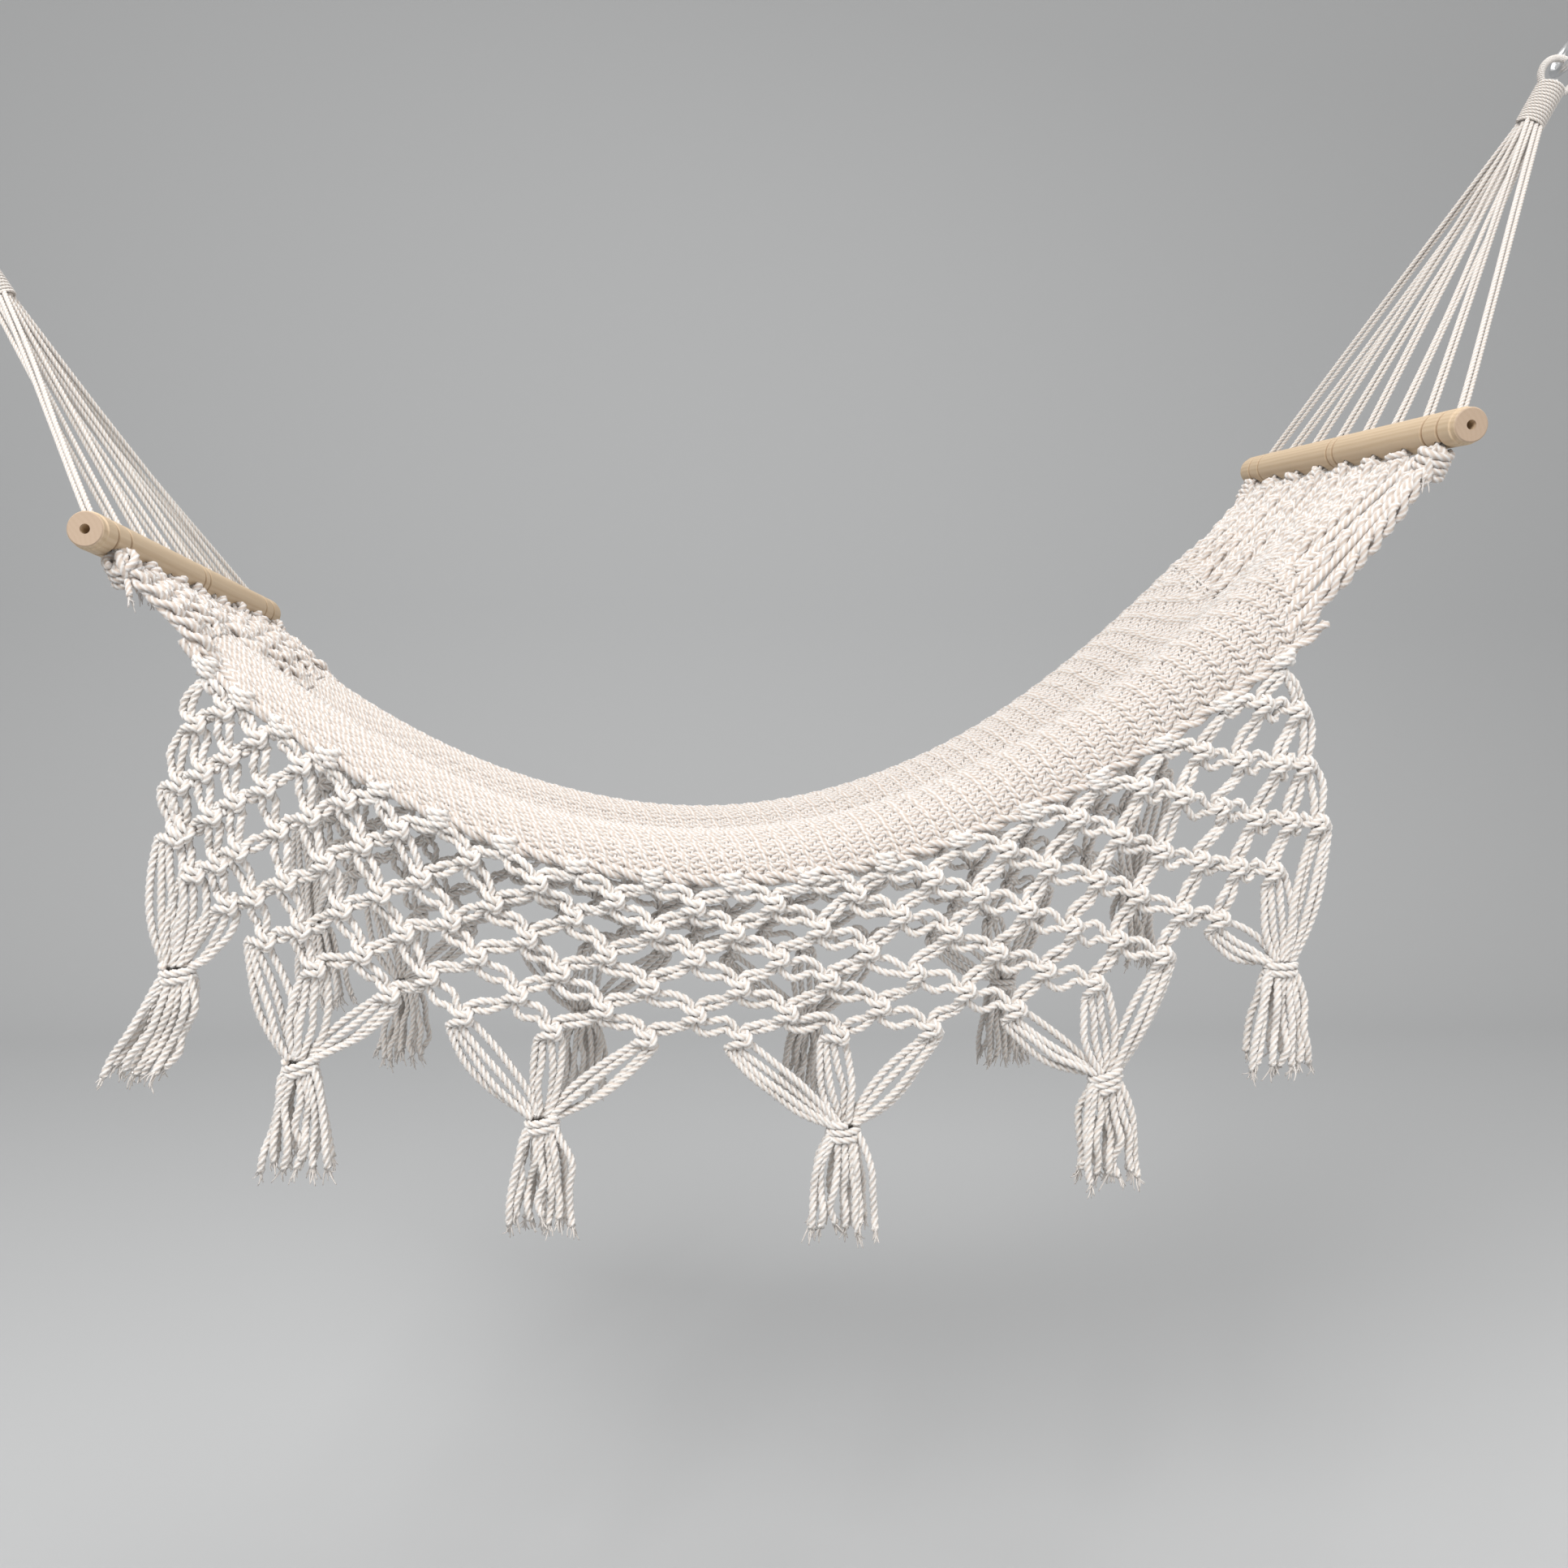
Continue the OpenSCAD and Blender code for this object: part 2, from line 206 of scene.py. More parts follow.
def resample(points, step):
    """Points evenly spaced along a path, and how far along each one is."""
    points = np.asarray(points, float)
    s = np.concatenate([[0], np.cumsum(np.linalg.norm(np.diff(points, axis=0), axis=1))])
    n = max(3, int(math.ceil(s[-1] / step)) + 1)
    at = np.linspace(0, s[-1], n)
    return np.stack([np.interp(at, s, points[:, k]) for k in range(3)], 1), at


def curve(points, per_span=8):
    """A smooth curve through a few points (Catmull-Rom)."""
    p = np.asarray(points, float)
    p = np.concatenate([[2 * p[0] - p[1]], p, [2 * p[-1] - p[-2]]])
    u = np.linspace(0, 1, per_span, endpoint=False)[:, None]
    out = []
    for a, b, c, d in zip(p, p[1:], p[2:], p[3:]):
        out.append(0.5 * (2 * b + (c - a) * u + (2 * a - 5 * b + 4 * c - d) * u**2
                          + (3 * b - a - 3 * c + d) * u**3))
    return np.concatenate(out + [p[-2:-1]])


def frames(points):
    """Two normals at each point that turn as little as possible along the curve."""
    t = np.gradient(points, axis=0)
    t /= np.maximum(np.linalg.norm(t, axis=1, keepdims=True), 1e-12)
    a = np.empty_like(t)
    start = np.array([0, 1, 0]) if abs(t[0][1]) < 0.8 else np.array([1, 0, 0])
    v = start - t[0] * start.dot(t[0])
    a[0] = v / math.sqrt(v.dot(v))
    for i in range(1, len(t)):
        v = a[i - 1] - t[i] * a[i - 1].dot(t[i])
        a[i] = v / math.sqrt(v.dot(v))
    return a, np.cross(t, a)


# Radius of a twisted rope round its section, as a share of its outer radius, by its number of sides
LOBES = {9: (1.0, 0.86, 0.86), 12: (1.0, 0.87, 0.62, 0.87), 6: (1.0, 0.96)}


def any_phase(rng):
    """A random turn about a line, in radians."""
    return rng.uniform(0, 6)


class Ropes:
    """Collects rope tubes into one mesh."""

    def __init__(self):
        self.points, self.quads, self.uvs, self.grooves, self.ends, self.shades = [], [], [], [], [], []
        self.count = 0

    def add(self, path, diameter, sides=9, lay=LAY, phase=0.0, hand=1, taper=0.0, shade=0.5, step=None):
        """A three-strand rope along path. taper is how much of its radius it loses by its far end."""
        p, s = resample(path, step or diameter * lay / 8)
        a, b = frames(p)
        n = len(p)
        lobe = np.tile(LOBES[sides], sides // len(LOBES[sides]))
        k = np.arange(sides)
        angle = 2 * math.pi * (k[None, :] / sides + hand * s[:, None] / (diameter * lay)) + phase
        r = diameter / 2 * lobe[None, :] * (1 - taper * (s / s[-1])[:, None])
        ring = p[:, None] + r[..., None] * (
            np.cos(angle)[..., None] * a[:, None] + np.sin(angle)[..., None] * b[:, None])
        i, j = np.meshgrid(np.arange(n - 1), k, indexing="ij")
        nxt = (j + 1) % sides
        quads = np.stack([i * sides + j, i * sides + nxt, (i + 1) * sides + nxt, (i + 1) * sides + j], -1)
        u0, u1 = j / sides, (j + 1) / sides
        v0, v1 = s[i] / diameter, s[i + 1] / diameter
        uv = np.stack([np.stack([u0, v0], -1), np.stack([u1, v0], -1),
                       np.stack([u1, v1], -1), np.stack([u0, v1], -1)], -2)
        self.points.append(ring.reshape(-1, 3))
        self.quads.append(quads.reshape(-1, 4) + self.count)
        self.uvs.append(uv.reshape(-1, 2))
        # groove runs from 0 on a strand's crest to 1 in the valley between strands; the cotton material
        # paints warm shade there.
        self.grooves.append(np.tile((1 - lobe) / (1 - lobe.min()), n))
        self.shades.append(np.full(n * sides, shade))
        self.ends += [self.count + k[::-1], self.count + (n - 1) * sides + k]
        self.count += n * sides

    def build(self, name):
        mesh = bpy.data.meshes.new(name)
        points, quads = np.concatenate(self.points), np.concatenate(self.quads)
        uvs = np.concatenate(self.uvs)
        caps = np.concatenate(self.ends)
        sizes = np.concatenate([np.full(len(quads), 4), [len(e) for e in self.ends]]).astype(np.int32)
        corners = np.concatenate([quads.ravel(), caps]).astype(np.int32)
        mesh.vertices.add(len(points))
        mesh.vertices.foreach_set("co", points.astype(np.float32).ravel())
        mesh.loops.add(len(corners))
        mesh.loops.foreach_set("vertex_index", corners)
        mesh.polygons.add(len(sizes))
        starts = np.concatenate([[0], np.cumsum(sizes)[:-1]]).astype(np.int32)
        mesh.polygons.foreach_set("loop_start", starts)
        mesh.update(calc_edges=True)
        mesh.polygons.foreach_set("use_smooth", np.ones(len(sizes), bool))
        layer = mesh.uv_layers.new(name="Lay")
        full = np.zeros((len(corners), 2), np.float32)
        full[: len(uvs)] = uvs
        layer.data.foreach_set("uv", full.ravel())
        for title, values in (("groove", self.grooves), ("shade", self.shades)):
            attribute = mesh.attributes.new(title, "FLOAT", "POINT")
            attribute.data.foreach_set("value", np.concatenate(values).astype(np.float32))
        mesh.validate()
        ob = bpy.data.objects.new(name, mesh)
        bpy.context.scene.collection.objects.link(ob)
        return ob


def place(ropes, name, body, material, slot, *nodes, blend=None):
    """Build a piece that stands for nodes. Only whether blend is given is used: then the piece is fixed where
    it is built, not attached to body.
    """
    ob = ropes.build(name)
    ob.data.materials.append(material)
    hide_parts(*nodes)
    if blend:
        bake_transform(ob)
    else:
        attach(ob, body)


# ---------------------------------------------------------------- materials

def new_material(name):
    material = bpy.data.materials.new(name)
    material.use_nodes = True
    nodes, links = material.node_tree.nodes, material.node_tree.links
    return material, nodes, links, nodes["Principled BSDF"]


def add(nodes, kind, **values):
    """A new shader node, with its own settings and its inputs' values by name."""
    node = nodes.new(kind)
    for key, value in values.items():
        if hasattr(node, key):
            setattr(node, key, value)
        else:
            node.inputs[key].default_value = value
    return node


def ramp(nodes, stops):
    """A colour ramp through stops of (place, colour)."""
    node = nodes.new("ShaderNodeValToRGB")
    elements = node.color_ramp.elements
    for k, (at, colour) in enumerate(stops):
        e = elements[k] if k < 2 else elements.new(at)
        e.position, e.color = at, (*colour, 1)
    return node


def cotton(name, light, dark, warm):
    """Twisted cotton: painted warm shade in the grooves between strands, fine yarns along each strand, and a
    soft nap.
    """
    material, nodes, links, shader = new_material(name)
    shader.inputs["Roughness"].default_value = 0.9
    shader.inputs["Specular IOR Level"].default_value = 0.15
    shader.inputs["Sheen Weight"].default_value = 0.25
    shader.inputs["Sheen Roughness"].default_value = 0.6
    groove = add(nodes, "ShaderNodeAttribute", attribute_name="groove")
    shade = add(nodes, "ShaderNodeAttribute", attribute_name="shade")
    spot = add(nodes, "ShaderNodeTexCoord")
    patches = add(nodes, "ShaderNodeTexNoise", Scale=45.0, Detail=3.0)
    nap = add(nodes, "ShaderNodeTexNoise", Scale=1800.0, Detail=2.0)
    links.new(spot.outputs["Object"], patches.inputs["Vector"])
    links.new(spot.outputs["Object"], nap.inputs["Vector"])
    tint = add(nodes, "ShaderNodeMix", data_type="RGBA")
    tint.inputs[6].default_value, tint.inputs[7].default_value = (*light, 1), (*dark, 1)
    vary = add(nodes, "ShaderNodeMath", operation="MULTIPLY_ADD")
    vary.inputs[1].default_value, vary.inputs[2].default_value = 0.9, -0.2
    links.new(patches.outputs["Fac"], vary.inputs[0])
    both = add(nodes, "ShaderNodeMath", operation="ADD", use_clamp=True)
    links.new(vary.outputs[0], both.inputs[0])
    half = add(nodes, "ShaderNodeMath", operation="MULTIPLY_ADD")
    half.inputs[1].default_value, half.inputs[2].default_value = 0.8, -0.4
    links.new(shade.outputs["Fac"], half.inputs[0])
    links.new(half.outputs[0], both.inputs[1])
    links.new(both.outputs[0], tint.inputs[0])
    # Painted shade: the warm colour is mixed in along the grooves between strands.
    deep = add(nodes, "ShaderNodeMix", data_type="RGBA")
    deep.inputs[7].default_value = (*warm, 1)
    painted_groove_shade = add(nodes, "ShaderNodeMath", operation="POWER")
    painted_groove_shade.inputs[1].default_value = 1.6
    links.new(groove.outputs["Fac"], painted_groove_shade.inputs[0])
    amount = add(nodes, "ShaderNodeMath", operation="MULTIPLY")
    amount.inputs[1].default_value = 0.7
    links.new(painted_groove_shade.outputs[0], amount.inputs[0])
    links.new(amount.outputs[0], deep.inputs[0])
    links.new(tint.outputs[2], deep.inputs[6])
    links.new(deep.outputs[2], shader.inputs["Base Color"])
    uv = add(nodes, "ShaderNodeUVMap", uv_map="Lay")
    turn = add(nodes, "ShaderNodeMapping")
    turn.inputs["Rotation"].default_value = (0, 0, math.radians(34))
    turn.inputs["Scale"].default_value = (9.0, 1.0, 1.0)
    links.new(uv.outputs["UV"], turn.inputs["Vector"])
    yarns = add(nodes, "ShaderNodeTexWave", Scale=1.1, Distortion=1.2)
    yarns.inputs["Detail"].default_value = 1.0
    links.new(turn.outputs["Vector"], yarns.inputs["Vector"])
    mixed = add(nodes, "ShaderNodeMath", operation="MULTIPLY_ADD")
    mixed.inputs[1].default_value = 0.5
    links.new(nap.outputs["Fac"], mixed.inputs[0])
    links.new(yarns.outputs["Fac"], mixed.inputs[2])
    bump = add(nodes, "ShaderNodeBump", Strength=0.5, Distance=0.0004)
    links.new(mixed.outputs[0], bump.inputs["Height"])
    links.new(bump.outputs["Normal"], shader.inputs["Normal"])
    return material


GROOVES = (0.0055, 0.1485, 0.1695)  # distances of a bar's turned grooves from its middle
GROOVE_HALF = 0.0022
# Painted shade: the first colour darkens the turned grooves; the second is the darker end grain.
GROOVE_SHADE, FACE_TINT = (0.20, 0.11, 0.05), (0.36, 0.265, 0.20)
TINT_AMOUNT = 0.75
WOOD_STOPS = [(0.0, (0.475, 0.35, 0.225)), (0.45, (0.55, 0.425, 0.29)), (1.0, (0.605, 0.48, 0.34))]


def wood(name, end):
    """Pale turned wood: grain along the bar, painted shade in the turned grooves, and pinker growth rings on
    its ends.
    """
    material, nodes, links, shader = new_material(name)
    shader.inputs["Specular IOR Level"].default_value = 0.35
    spot = add(nodes, "ShaderNodeTexCoord")
    move = add(nodes, "ShaderNodeMapping", vector_type="TEXTURE")
    move.inputs["Location"].default_value = tuple(BAR[end])
    move.inputs["Rotation"].default_value = (math.radians(LEAN[end]), 0, 0)
    links.new(spot.outputs["Object"], move.inputs["Vector"])
    stretch = add(nodes, "ShaderNodeMapping")
    stretch.inputs["Location"].default_value = (0.022, 0.0, 0.013)
    stretch.inputs["Scale"].default_value = (1.0, 0.035, 1.0)
    links.new(move.outputs["Vector"], stretch.inputs["Vector"])
    bend = add(nodes, "ShaderNodeTexNoise", Scale=60.0, Detail=2.0)
    links.new(stretch.outputs["Vector"], bend.inputs["Vector"])
    shift = add(nodes, "ShaderNodeVectorMath", operation="MULTIPLY_ADD")
    shift.inputs[1].default_value = (0.004, 0.0, 0.004)
    links.new(bend.outputs["Color"], shift.inputs[0])
    links.new(stretch.outputs["Vector"], shift.inputs[2])
    rings = add(nodes, "ShaderNodeTexWave", wave_type="RINGS", rings_direction="Y",
                Scale=95.0, Distortion=1.5)
    rings.inputs["Detail"].default_value = 2.0
    links.new(shift.outputs["Vector"], rings.inputs["Vector"])
    fibres = add(nodes, "ShaderNodeTexNoise", Scale=900.0, Detail=4.0)
    links.new(stretch.outputs["Vector"], fibres.inputs["Vector"])
    colour = ramp(nodes, WOOD_STOPS)
    blend = add(nodes, "ShaderNodeMath", operation="MULTIPLY_ADD")
    blend.inputs[1].default_value = 0.4
    links.new(rings.outputs["Fac"], blend.inputs[0])
    part = add(nodes, "ShaderNodeMath", operation="MULTIPLY")
    part.inputs[1].default_value = 0.55
    links.new(fibres.outputs["Fac"], part.inputs[0])
    links.new(part.outputs[0], blend.inputs[2])
    links.new(blend.outputs[0], colour.inputs["Fac"])
    apart = add(nodes, "ShaderNodeSeparateXYZ")
    links.new(move.outputs["Vector"], apart.inputs[0])
    along = add(nodes, "ShaderNodeMath", operation="ABSOLUTE")
    links.new(apart.outputs["Y"], along.inputs[0])
    tone = colour.outputs["Color"]
    # Painted shade: each turned groove is darkened.
    for centre in GROOVES:
        mask = near(nodes, links, along.outputs[0], centre, GROOVE_HALF)
        tone = tinted(nodes, links, tone, mask, GROOVE_SHADE, TINT_AMOUNT)
    face = near(nodes, links, along.outputs[0], BAR_LENGTH / 2, 0.0012)
    tone = tinted(nodes, links, tone, face, FACE_TINT, TINT_AMOUNT)
    links.new(tone, shader.inputs["Base Color"])
    rough = add(nodes, "ShaderNodeMapRange")
    rough.inputs["To Min"].default_value, rough.inputs["To Max"].default_value = 0.5, 0.66
    links.new(fibres.outputs["Fac"], rough.inputs["Value"])
    links.new(rough.outputs["Result"], shader.inputs["Roughness"])
    bump = add(nodes, "ShaderNodeBump", Strength=0.25, Distance=0.0003)
    links.new(fibres.outputs["Fac"], bump.inputs["Height"])
    links.new(bump.outputs["Normal"], shader.inputs["Normal"])
    return material


def near(nodes, links, value, centre, half):
    """1 where value is at centre, falling to 0 at half on either side."""
    away = add(nodes, "ShaderNodeMath", operation="SUBTRACT")
    away.inputs[1].default_value = centre
    links.new(value, away.inputs[0])
    distance = add(nodes, "ShaderNodeMath", operation="ABSOLUTE")
    links.new(away.outputs[0], distance.inputs[0])
    fall = add(nodes, "ShaderNodeMapRange", interpolation_type="SMOOTHSTEP")
    fall.inputs["From Min"].default_value, fall.inputs["From Max"].default_value = half, half * 0.3
    links.new(distance.outputs[0], fall.inputs["Value"])
    return fall.outputs["Result"]


def tinted(nodes, links, colour, mask, tint, amount):
    """colour, with amount of tint where the mask is 1."""
    scale = add(nodes, "ShaderNodeMath", operation="MULTIPLY")
    scale.inputs[1].default_value = amount
    links.new(mask, scale.inputs[0])
    blend = add(nodes, "ShaderNodeMix", data_type="RGBA")
    blend.inputs[7].default_value = (*tint, 1)
    links.new(scale.outputs[0], blend.inputs[0])
    links.new(colour, blend.inputs[6])
    return blend.outputs[2]


def steel(name):
    """Brushed steel with uneven gloss."""
    material, nodes, links, shader = new_material(name)
    shader.inputs["Metallic"].default_value = 1.0
    shader.inputs["Base Color"].default_value = (0.66, 0.67, 0.68, 1)
    spot = add(nodes, "ShaderNodeTexCoord")
    streaks = add(nodes, "ShaderNodeTexNoise", Scale=420.0, Detail=4.0)
    links.new(spot.outputs["Object"], streaks.inputs["Vector"])
    rough = add(nodes, "ShaderNodeMapRange")
    rough.inputs["To Min"].default_value, rough.inputs["To Max"].default_value = 0.22, 0.42
    links.new(streaks.outputs["Fac"], rough.inputs["Value"])
    links.new(rough.outputs["Result"], shader.inputs["Roughness"])
    bump = add(nodes, "ShaderNodeBump", Strength=0.15, Distance=0.0001)
    links.new(streaks.outputs["Fac"], bump.inputs["Height"])
    links.new(bump.outputs["Normal"], shader.inputs["Normal"])
    return material


# The third colour of each cotton is the warm painted shade in the grooves between its strands.
BED_COTTON = cotton("bed_cotton", (0.84, 0.83, 0.825), (0.78, 0.755, 0.735), (0.55, 0.43, 0.34))
FRINGE_COTTON = cotton("fringe_cotton", (0.88, 0.86, 0.84), (0.82, 0.79, 0.755), (0.60, 0.48, 0.39))
CLEW_COTTON = cotton("clew_cotton", (0.90, 0.885, 0.865), (0.84, 0.815, 0.785), (0.60, 0.50, 0.42))


# ---------------------------------------------------------------- camera, light and floor

CAMERA_FROM_BAR = np.array([0.4334, -1.1343, -0.1041])  # from the left bar's centre
CAMERA_YAW, CAMERA_PITCH, CAMERA_ROLL = 2.7435, -3.4045, 0.1932
FOCAL_SHARE = 1600 / 1932  # focal length over the picture's width
PRINCIPAL_SHIFT = (0.0124, -0.0021)
FLOOR_DROP = 0.45  # from the lowest tassel down to the floor
LIGHTS = (  # place from the hammock's middle, size, power and colour
    ("key", (-0.9, -2.0, 1.5), 1.2, 78, (1.0, 0.99, 0.975)),
    ("top", (0.3, 0.2, 2.2), 1.6, 26, (1.0, 0.99, 0.98)),
    ("fill", (2.2, -1.4, 0.2), 1.6, 16, (1.0, 0.98, 0.96)))
LIGHTS_AIM = -0.4  # height that every light points to


def set_camera():
    """The camera stands in front of the hammock, a little below the left bar."""
    data = bpy.data.cameras.new("camera")
    data.sensor_width = 36.0
    data.lens = 36.0 * FOCAL_SHARE
    data.shift_x, data.shift_y = PRINCIPAL_SHIFT
    data.clip_start = 0.02
    camera = bpy.data.objects.new("camera", data)
    camera.location = LEFT_BAR + CAMERA_FROM_BAR
    yaw, pitch, roll = map(math.radians, (CAMERA_YAW, CAMERA_PITCH, CAMERA_ROLL))
    turn = Matrix.Rotation(-yaw, 4, "Z") @ Matrix.Rotation(math.pi / 2 + pitch, 4, "X")
    turn = turn @ Matrix.Rotation(roll, 4, "Z")
    camera.rotation_euler = turn.to_euler()
    bpy.context.scene.collection.objects.link(camera)
    bpy.context.scene.camera = camera


def area_light(name, at, towards, size, power, colour):
    data = bpy.data.lights.new(name, "AREA")
    data.size, data.energy, data.color = size, power, colour
    lamp = bpy.data.objects.new(name, data)
    lamp.location = at
    lamp.rotation_euler = (Vector(towards) - Vector(at)).to_track_quat("-Z", "Y").to_euler()
    bpy.context.scene.collection.objects.link(lamp)


def set_stage():
    """A pale floor that curves up into a pale backdrop well behind the hammock."""
    low = CAD_BOUNDS[0][2] - FLOOR_DROP
    radius, back, front, half = 1.2, 2.2, -6.0, 7.0
    bend = [(back + radius * math.sin(a), low + radius * (1 - math.cos(a)))
            for a in np.linspace(0, math.pi / 2, 24)]
    profile = [(front, low)] + bend + [(back + radius, low + 6.0)]
    verts = [(MIDDLE_X + s * half, y, z) for s in (-1, 1) for y, z in profile]
    n = len(profile)
    faces = [(i, n + i, n + i + 1, i + 1) for i in range(n - 1)]
    mesh = bpy.data.meshes.new("floor")
    mesh.from_pydata(verts, [], faces)
    mesh.polygons.foreach_set("use_smooth", [True] * len(faces))
    floor = bpy.data.objects.new("floor", mesh)
    bpy.context.scene.collection.objects.link(floor)
    material, nodes, links, shader = new_material("floor")
    shader.inputs["Base Color"].default_value = (0.50, 0.51, 0.52, 1)
    shader.inputs["Roughness"].default_value = 0.9
    mesh.materials.append(material)


def set_lights():
    """Soft, slightly warm light from all round, and three large lamps."""
    world = bpy.data.worlds.new("world")
    world.use_nodes = True
    world.node_tree.nodes["Background"].inputs["Color"].default_value = (1.0, 0.985, 0.965, 1)
    world.node_tree.nodes["Background"].inputs["Strength"].default_value = 0.62
    bpy.context.scene.world = world
    for name, (x, y, z), size, power, colour in LIGHTS:
        area_light(name, (MIDDLE_X + x, y, z), (MIDDLE_X, 0.0, LIGHTS_AIM), size, power, colour)
    bpy.context.scene.view_settings.view_transform = "Standard"


# ---------------------------------------------------------------- bed

ZIG_PERIOD = 0.0155
ZIG_HALF = (0.0004, 0.0034)  # half height of the zigzag, at the left and the right end
PAIR_HALF = (0.0010, 0.0007)  # how far every second rope bows against its neighbours, at the two ends
ZIG_SHIFT = 0.0020  # how far each rope's zigzag runs ahead of its neighbour's
ZIG_LIFT = 0.0007  # how far a rope rises and dips on its way
PAIR_LEAD = 0.8  # how far the bow runs ahead of the zigzag, in radians
ZIG_FROM, ZIG_OVER = 0.15, 0.55  # where the zigzag starts to grow, and over how much, in shares of the span
WANDER, WANDER_PERIOD = 0.0004, 0.11  # each rope's own slow waver
DRIFT, DRIFT_PERIOD, DRIFT_LAG = 0.0012, 0.23, 0.3  # how the zigzag slips along the bed, and its lag per rope
ROPE_STEP = 0.0011
PIECES, WEFT_PIECES = 8, 2  # meshes that the ropes and the cross cords are split into
EVEN_AT = 0.72  # share of the span where the ropes are evenly spaced
HEAD_IN, HEAD_SPREAD = 0.004, 0.024  # least distance from the weave's end to a braid's start, and its spread
WEFT, WEFT_PITCH, WEFT_DEPTH = 0.0030, 0.0029, 0.0008  # the cords across the bed, seen only between its ropes
WEFT_MARGIN, WEFT_REACH = 0.012, 0.985
BRAIDS = 2 * CLEWS
PER_BRAID = BED_ROPES // BRAIDS
KNOT_UP = -BAR_RADIUS - 0.0085  # where a lacing knot's middle lies below its bar, along the clew
LACING_ROPE = 0.0066
BRAID_PERIOD, BRAID_HALF, BRAID_DEPTH = 0.056, 0.0066, 0.0040
BRAID_ARCH, BRAID_STAGGER, BRAID_JITTER = 0.004, 2.2, 0.0006
BRAID_JOIN = 0.28  # share of a braid over which its ropes leave their places in the weave
KNOT_SPLIT = 0.0035  # how far each of a knot's two braids lies from its middle
FILLER_IN, FILLER_DEPTH, FILLER_HALF = 0.012, 0.004, 0.0032


def across_speed(x, t):
    """How far a point of the bed moves as t changes by one."""
    e = 1e-3
    return np.linalg.norm(bed_point(x, t + e) - bed_point(x, t - e), axis=-1) / (2 * e)


def even_places(count):
    """Places across the bed that lie evenly along its curved width."""
    t = np.linspace(-1, 1, 801)
    halfway = (t[1:] + t[:-1]) / 2
    speed = across_speed(np.full(len(halfway), EVEN_AT * BAR_SPAN), halfway)
    width = np.concatenate([[0], np.cumsum(speed)])
    return np.interp(np.linspace(0, width[-1], 2 * count + 1)[1::2], width, t)


ROPE_T = even_places(BED_ROPES)


def zig(x):
    """A zigzag with rounded points, from -1 to 1."""
    a = 2 * math.pi * x / ZIG_PERIOD
    return (np.sin(a) - np.sin(3 * a) / 9) / (1 + 1 / 9)


def bed_rope(i, x):
    """The path of bed rope i over the places x along the bed."""
    rng = np.random.default_rng(1000 + i)
    t = np.full_like(x, ROPE_T[i])
    wander = WANDER * np.sin(x * 2 * math.pi / WANDER_PERIOD + any_phase(rng))
    at = x + i * ZIG_SHIFT + DRIFT * np.sin(x * 2 * math.pi / DRIFT_PERIOD + DRIFT_LAG * i)
    turn = 2 * math.pi * at / ZIG_PERIOD
    right = smooth((x / BAR_SPAN - ZIG_FROM) / ZIG_OVER)
    other = 1 if i % 2 else -1
    bow = other * mix(*PAIR_HALF, right) * np.sin(turn + PAIR_LEAD)
    sway = (mix(*ZIG_HALF, right) * zig(at) + bow + wander) / across_speed(x, t)
    lift = 0.0002 * rng.standard_normal() - ZIG_LIFT * np.cos(turn) * mix(other, 1, right)
    return bed_point(x, np.clip(t + sway, -1.03, 1.03)) + bed_normal(x, t) * lift[:, None]


def head_x(end, i):
    """Where bed rope i leaves the weave for its braid. The braids start at different places."""
    rng = np.random.default_rng(70 + i // PER_BRAID + 100 * (end == "left"))
    inward = HEAD_IN + HEAD_SPREAD * rng.random()
    return HEAD["left"] + inward if end == "left" else HEAD["right"] - inward


def make_bed():
    """The bed's ropes lie over a layer of cross cords, which close the gaps between them. The cross cords
    take a darker tone, painted shade for those gaps.
    """
    for p in range(PIECES):
        ropes = Ropes()
        for i in range(p * BED_ROPES // PIECES, (p + 1) * BED_ROPES // PIECES):
            rng = np.random.default_rng(i)
            x = np.arange(head_x("left", i), head_x("right", i), ROPE_STEP)
            ropes.add(bed_rope(i, x), BED_ROPE, 9, phase=any_phase(rng), shade=rng.uniform(0.2, 0.7))
        place(ropes, f"bed_ropes_{p + 1}", "hammock", BED_COTTON, "bed_rope", "bed")
    places = np.arange(HEAD["left"] + WEFT_MARGIN, HEAD["right"] - WEFT_MARGIN, WEFT_PITCH)
    t = np.linspace(-WEFT_REACH, WEFT_REACH, 90)
    for p, part in enumerate(np.array_split(places, WEFT_PIECES)):
        ropes = Ropes()
        for x in part:
            path = bed_point(x, t) - bed_normal(x, t) * WEFT_DEPTH
            # Painted shade: the cross cords take the darkest tone and, on half their faces, the warm groove
            # colour, so the slits between ropes look shaded.
            ropes.add(path, WEFT, 6, step=0.0045, lay=6, shade=1.0)
        place(ropes, f"bed_weft_{p + 1}", "hammock", BED_COTTON, "bed_rope", "bed")


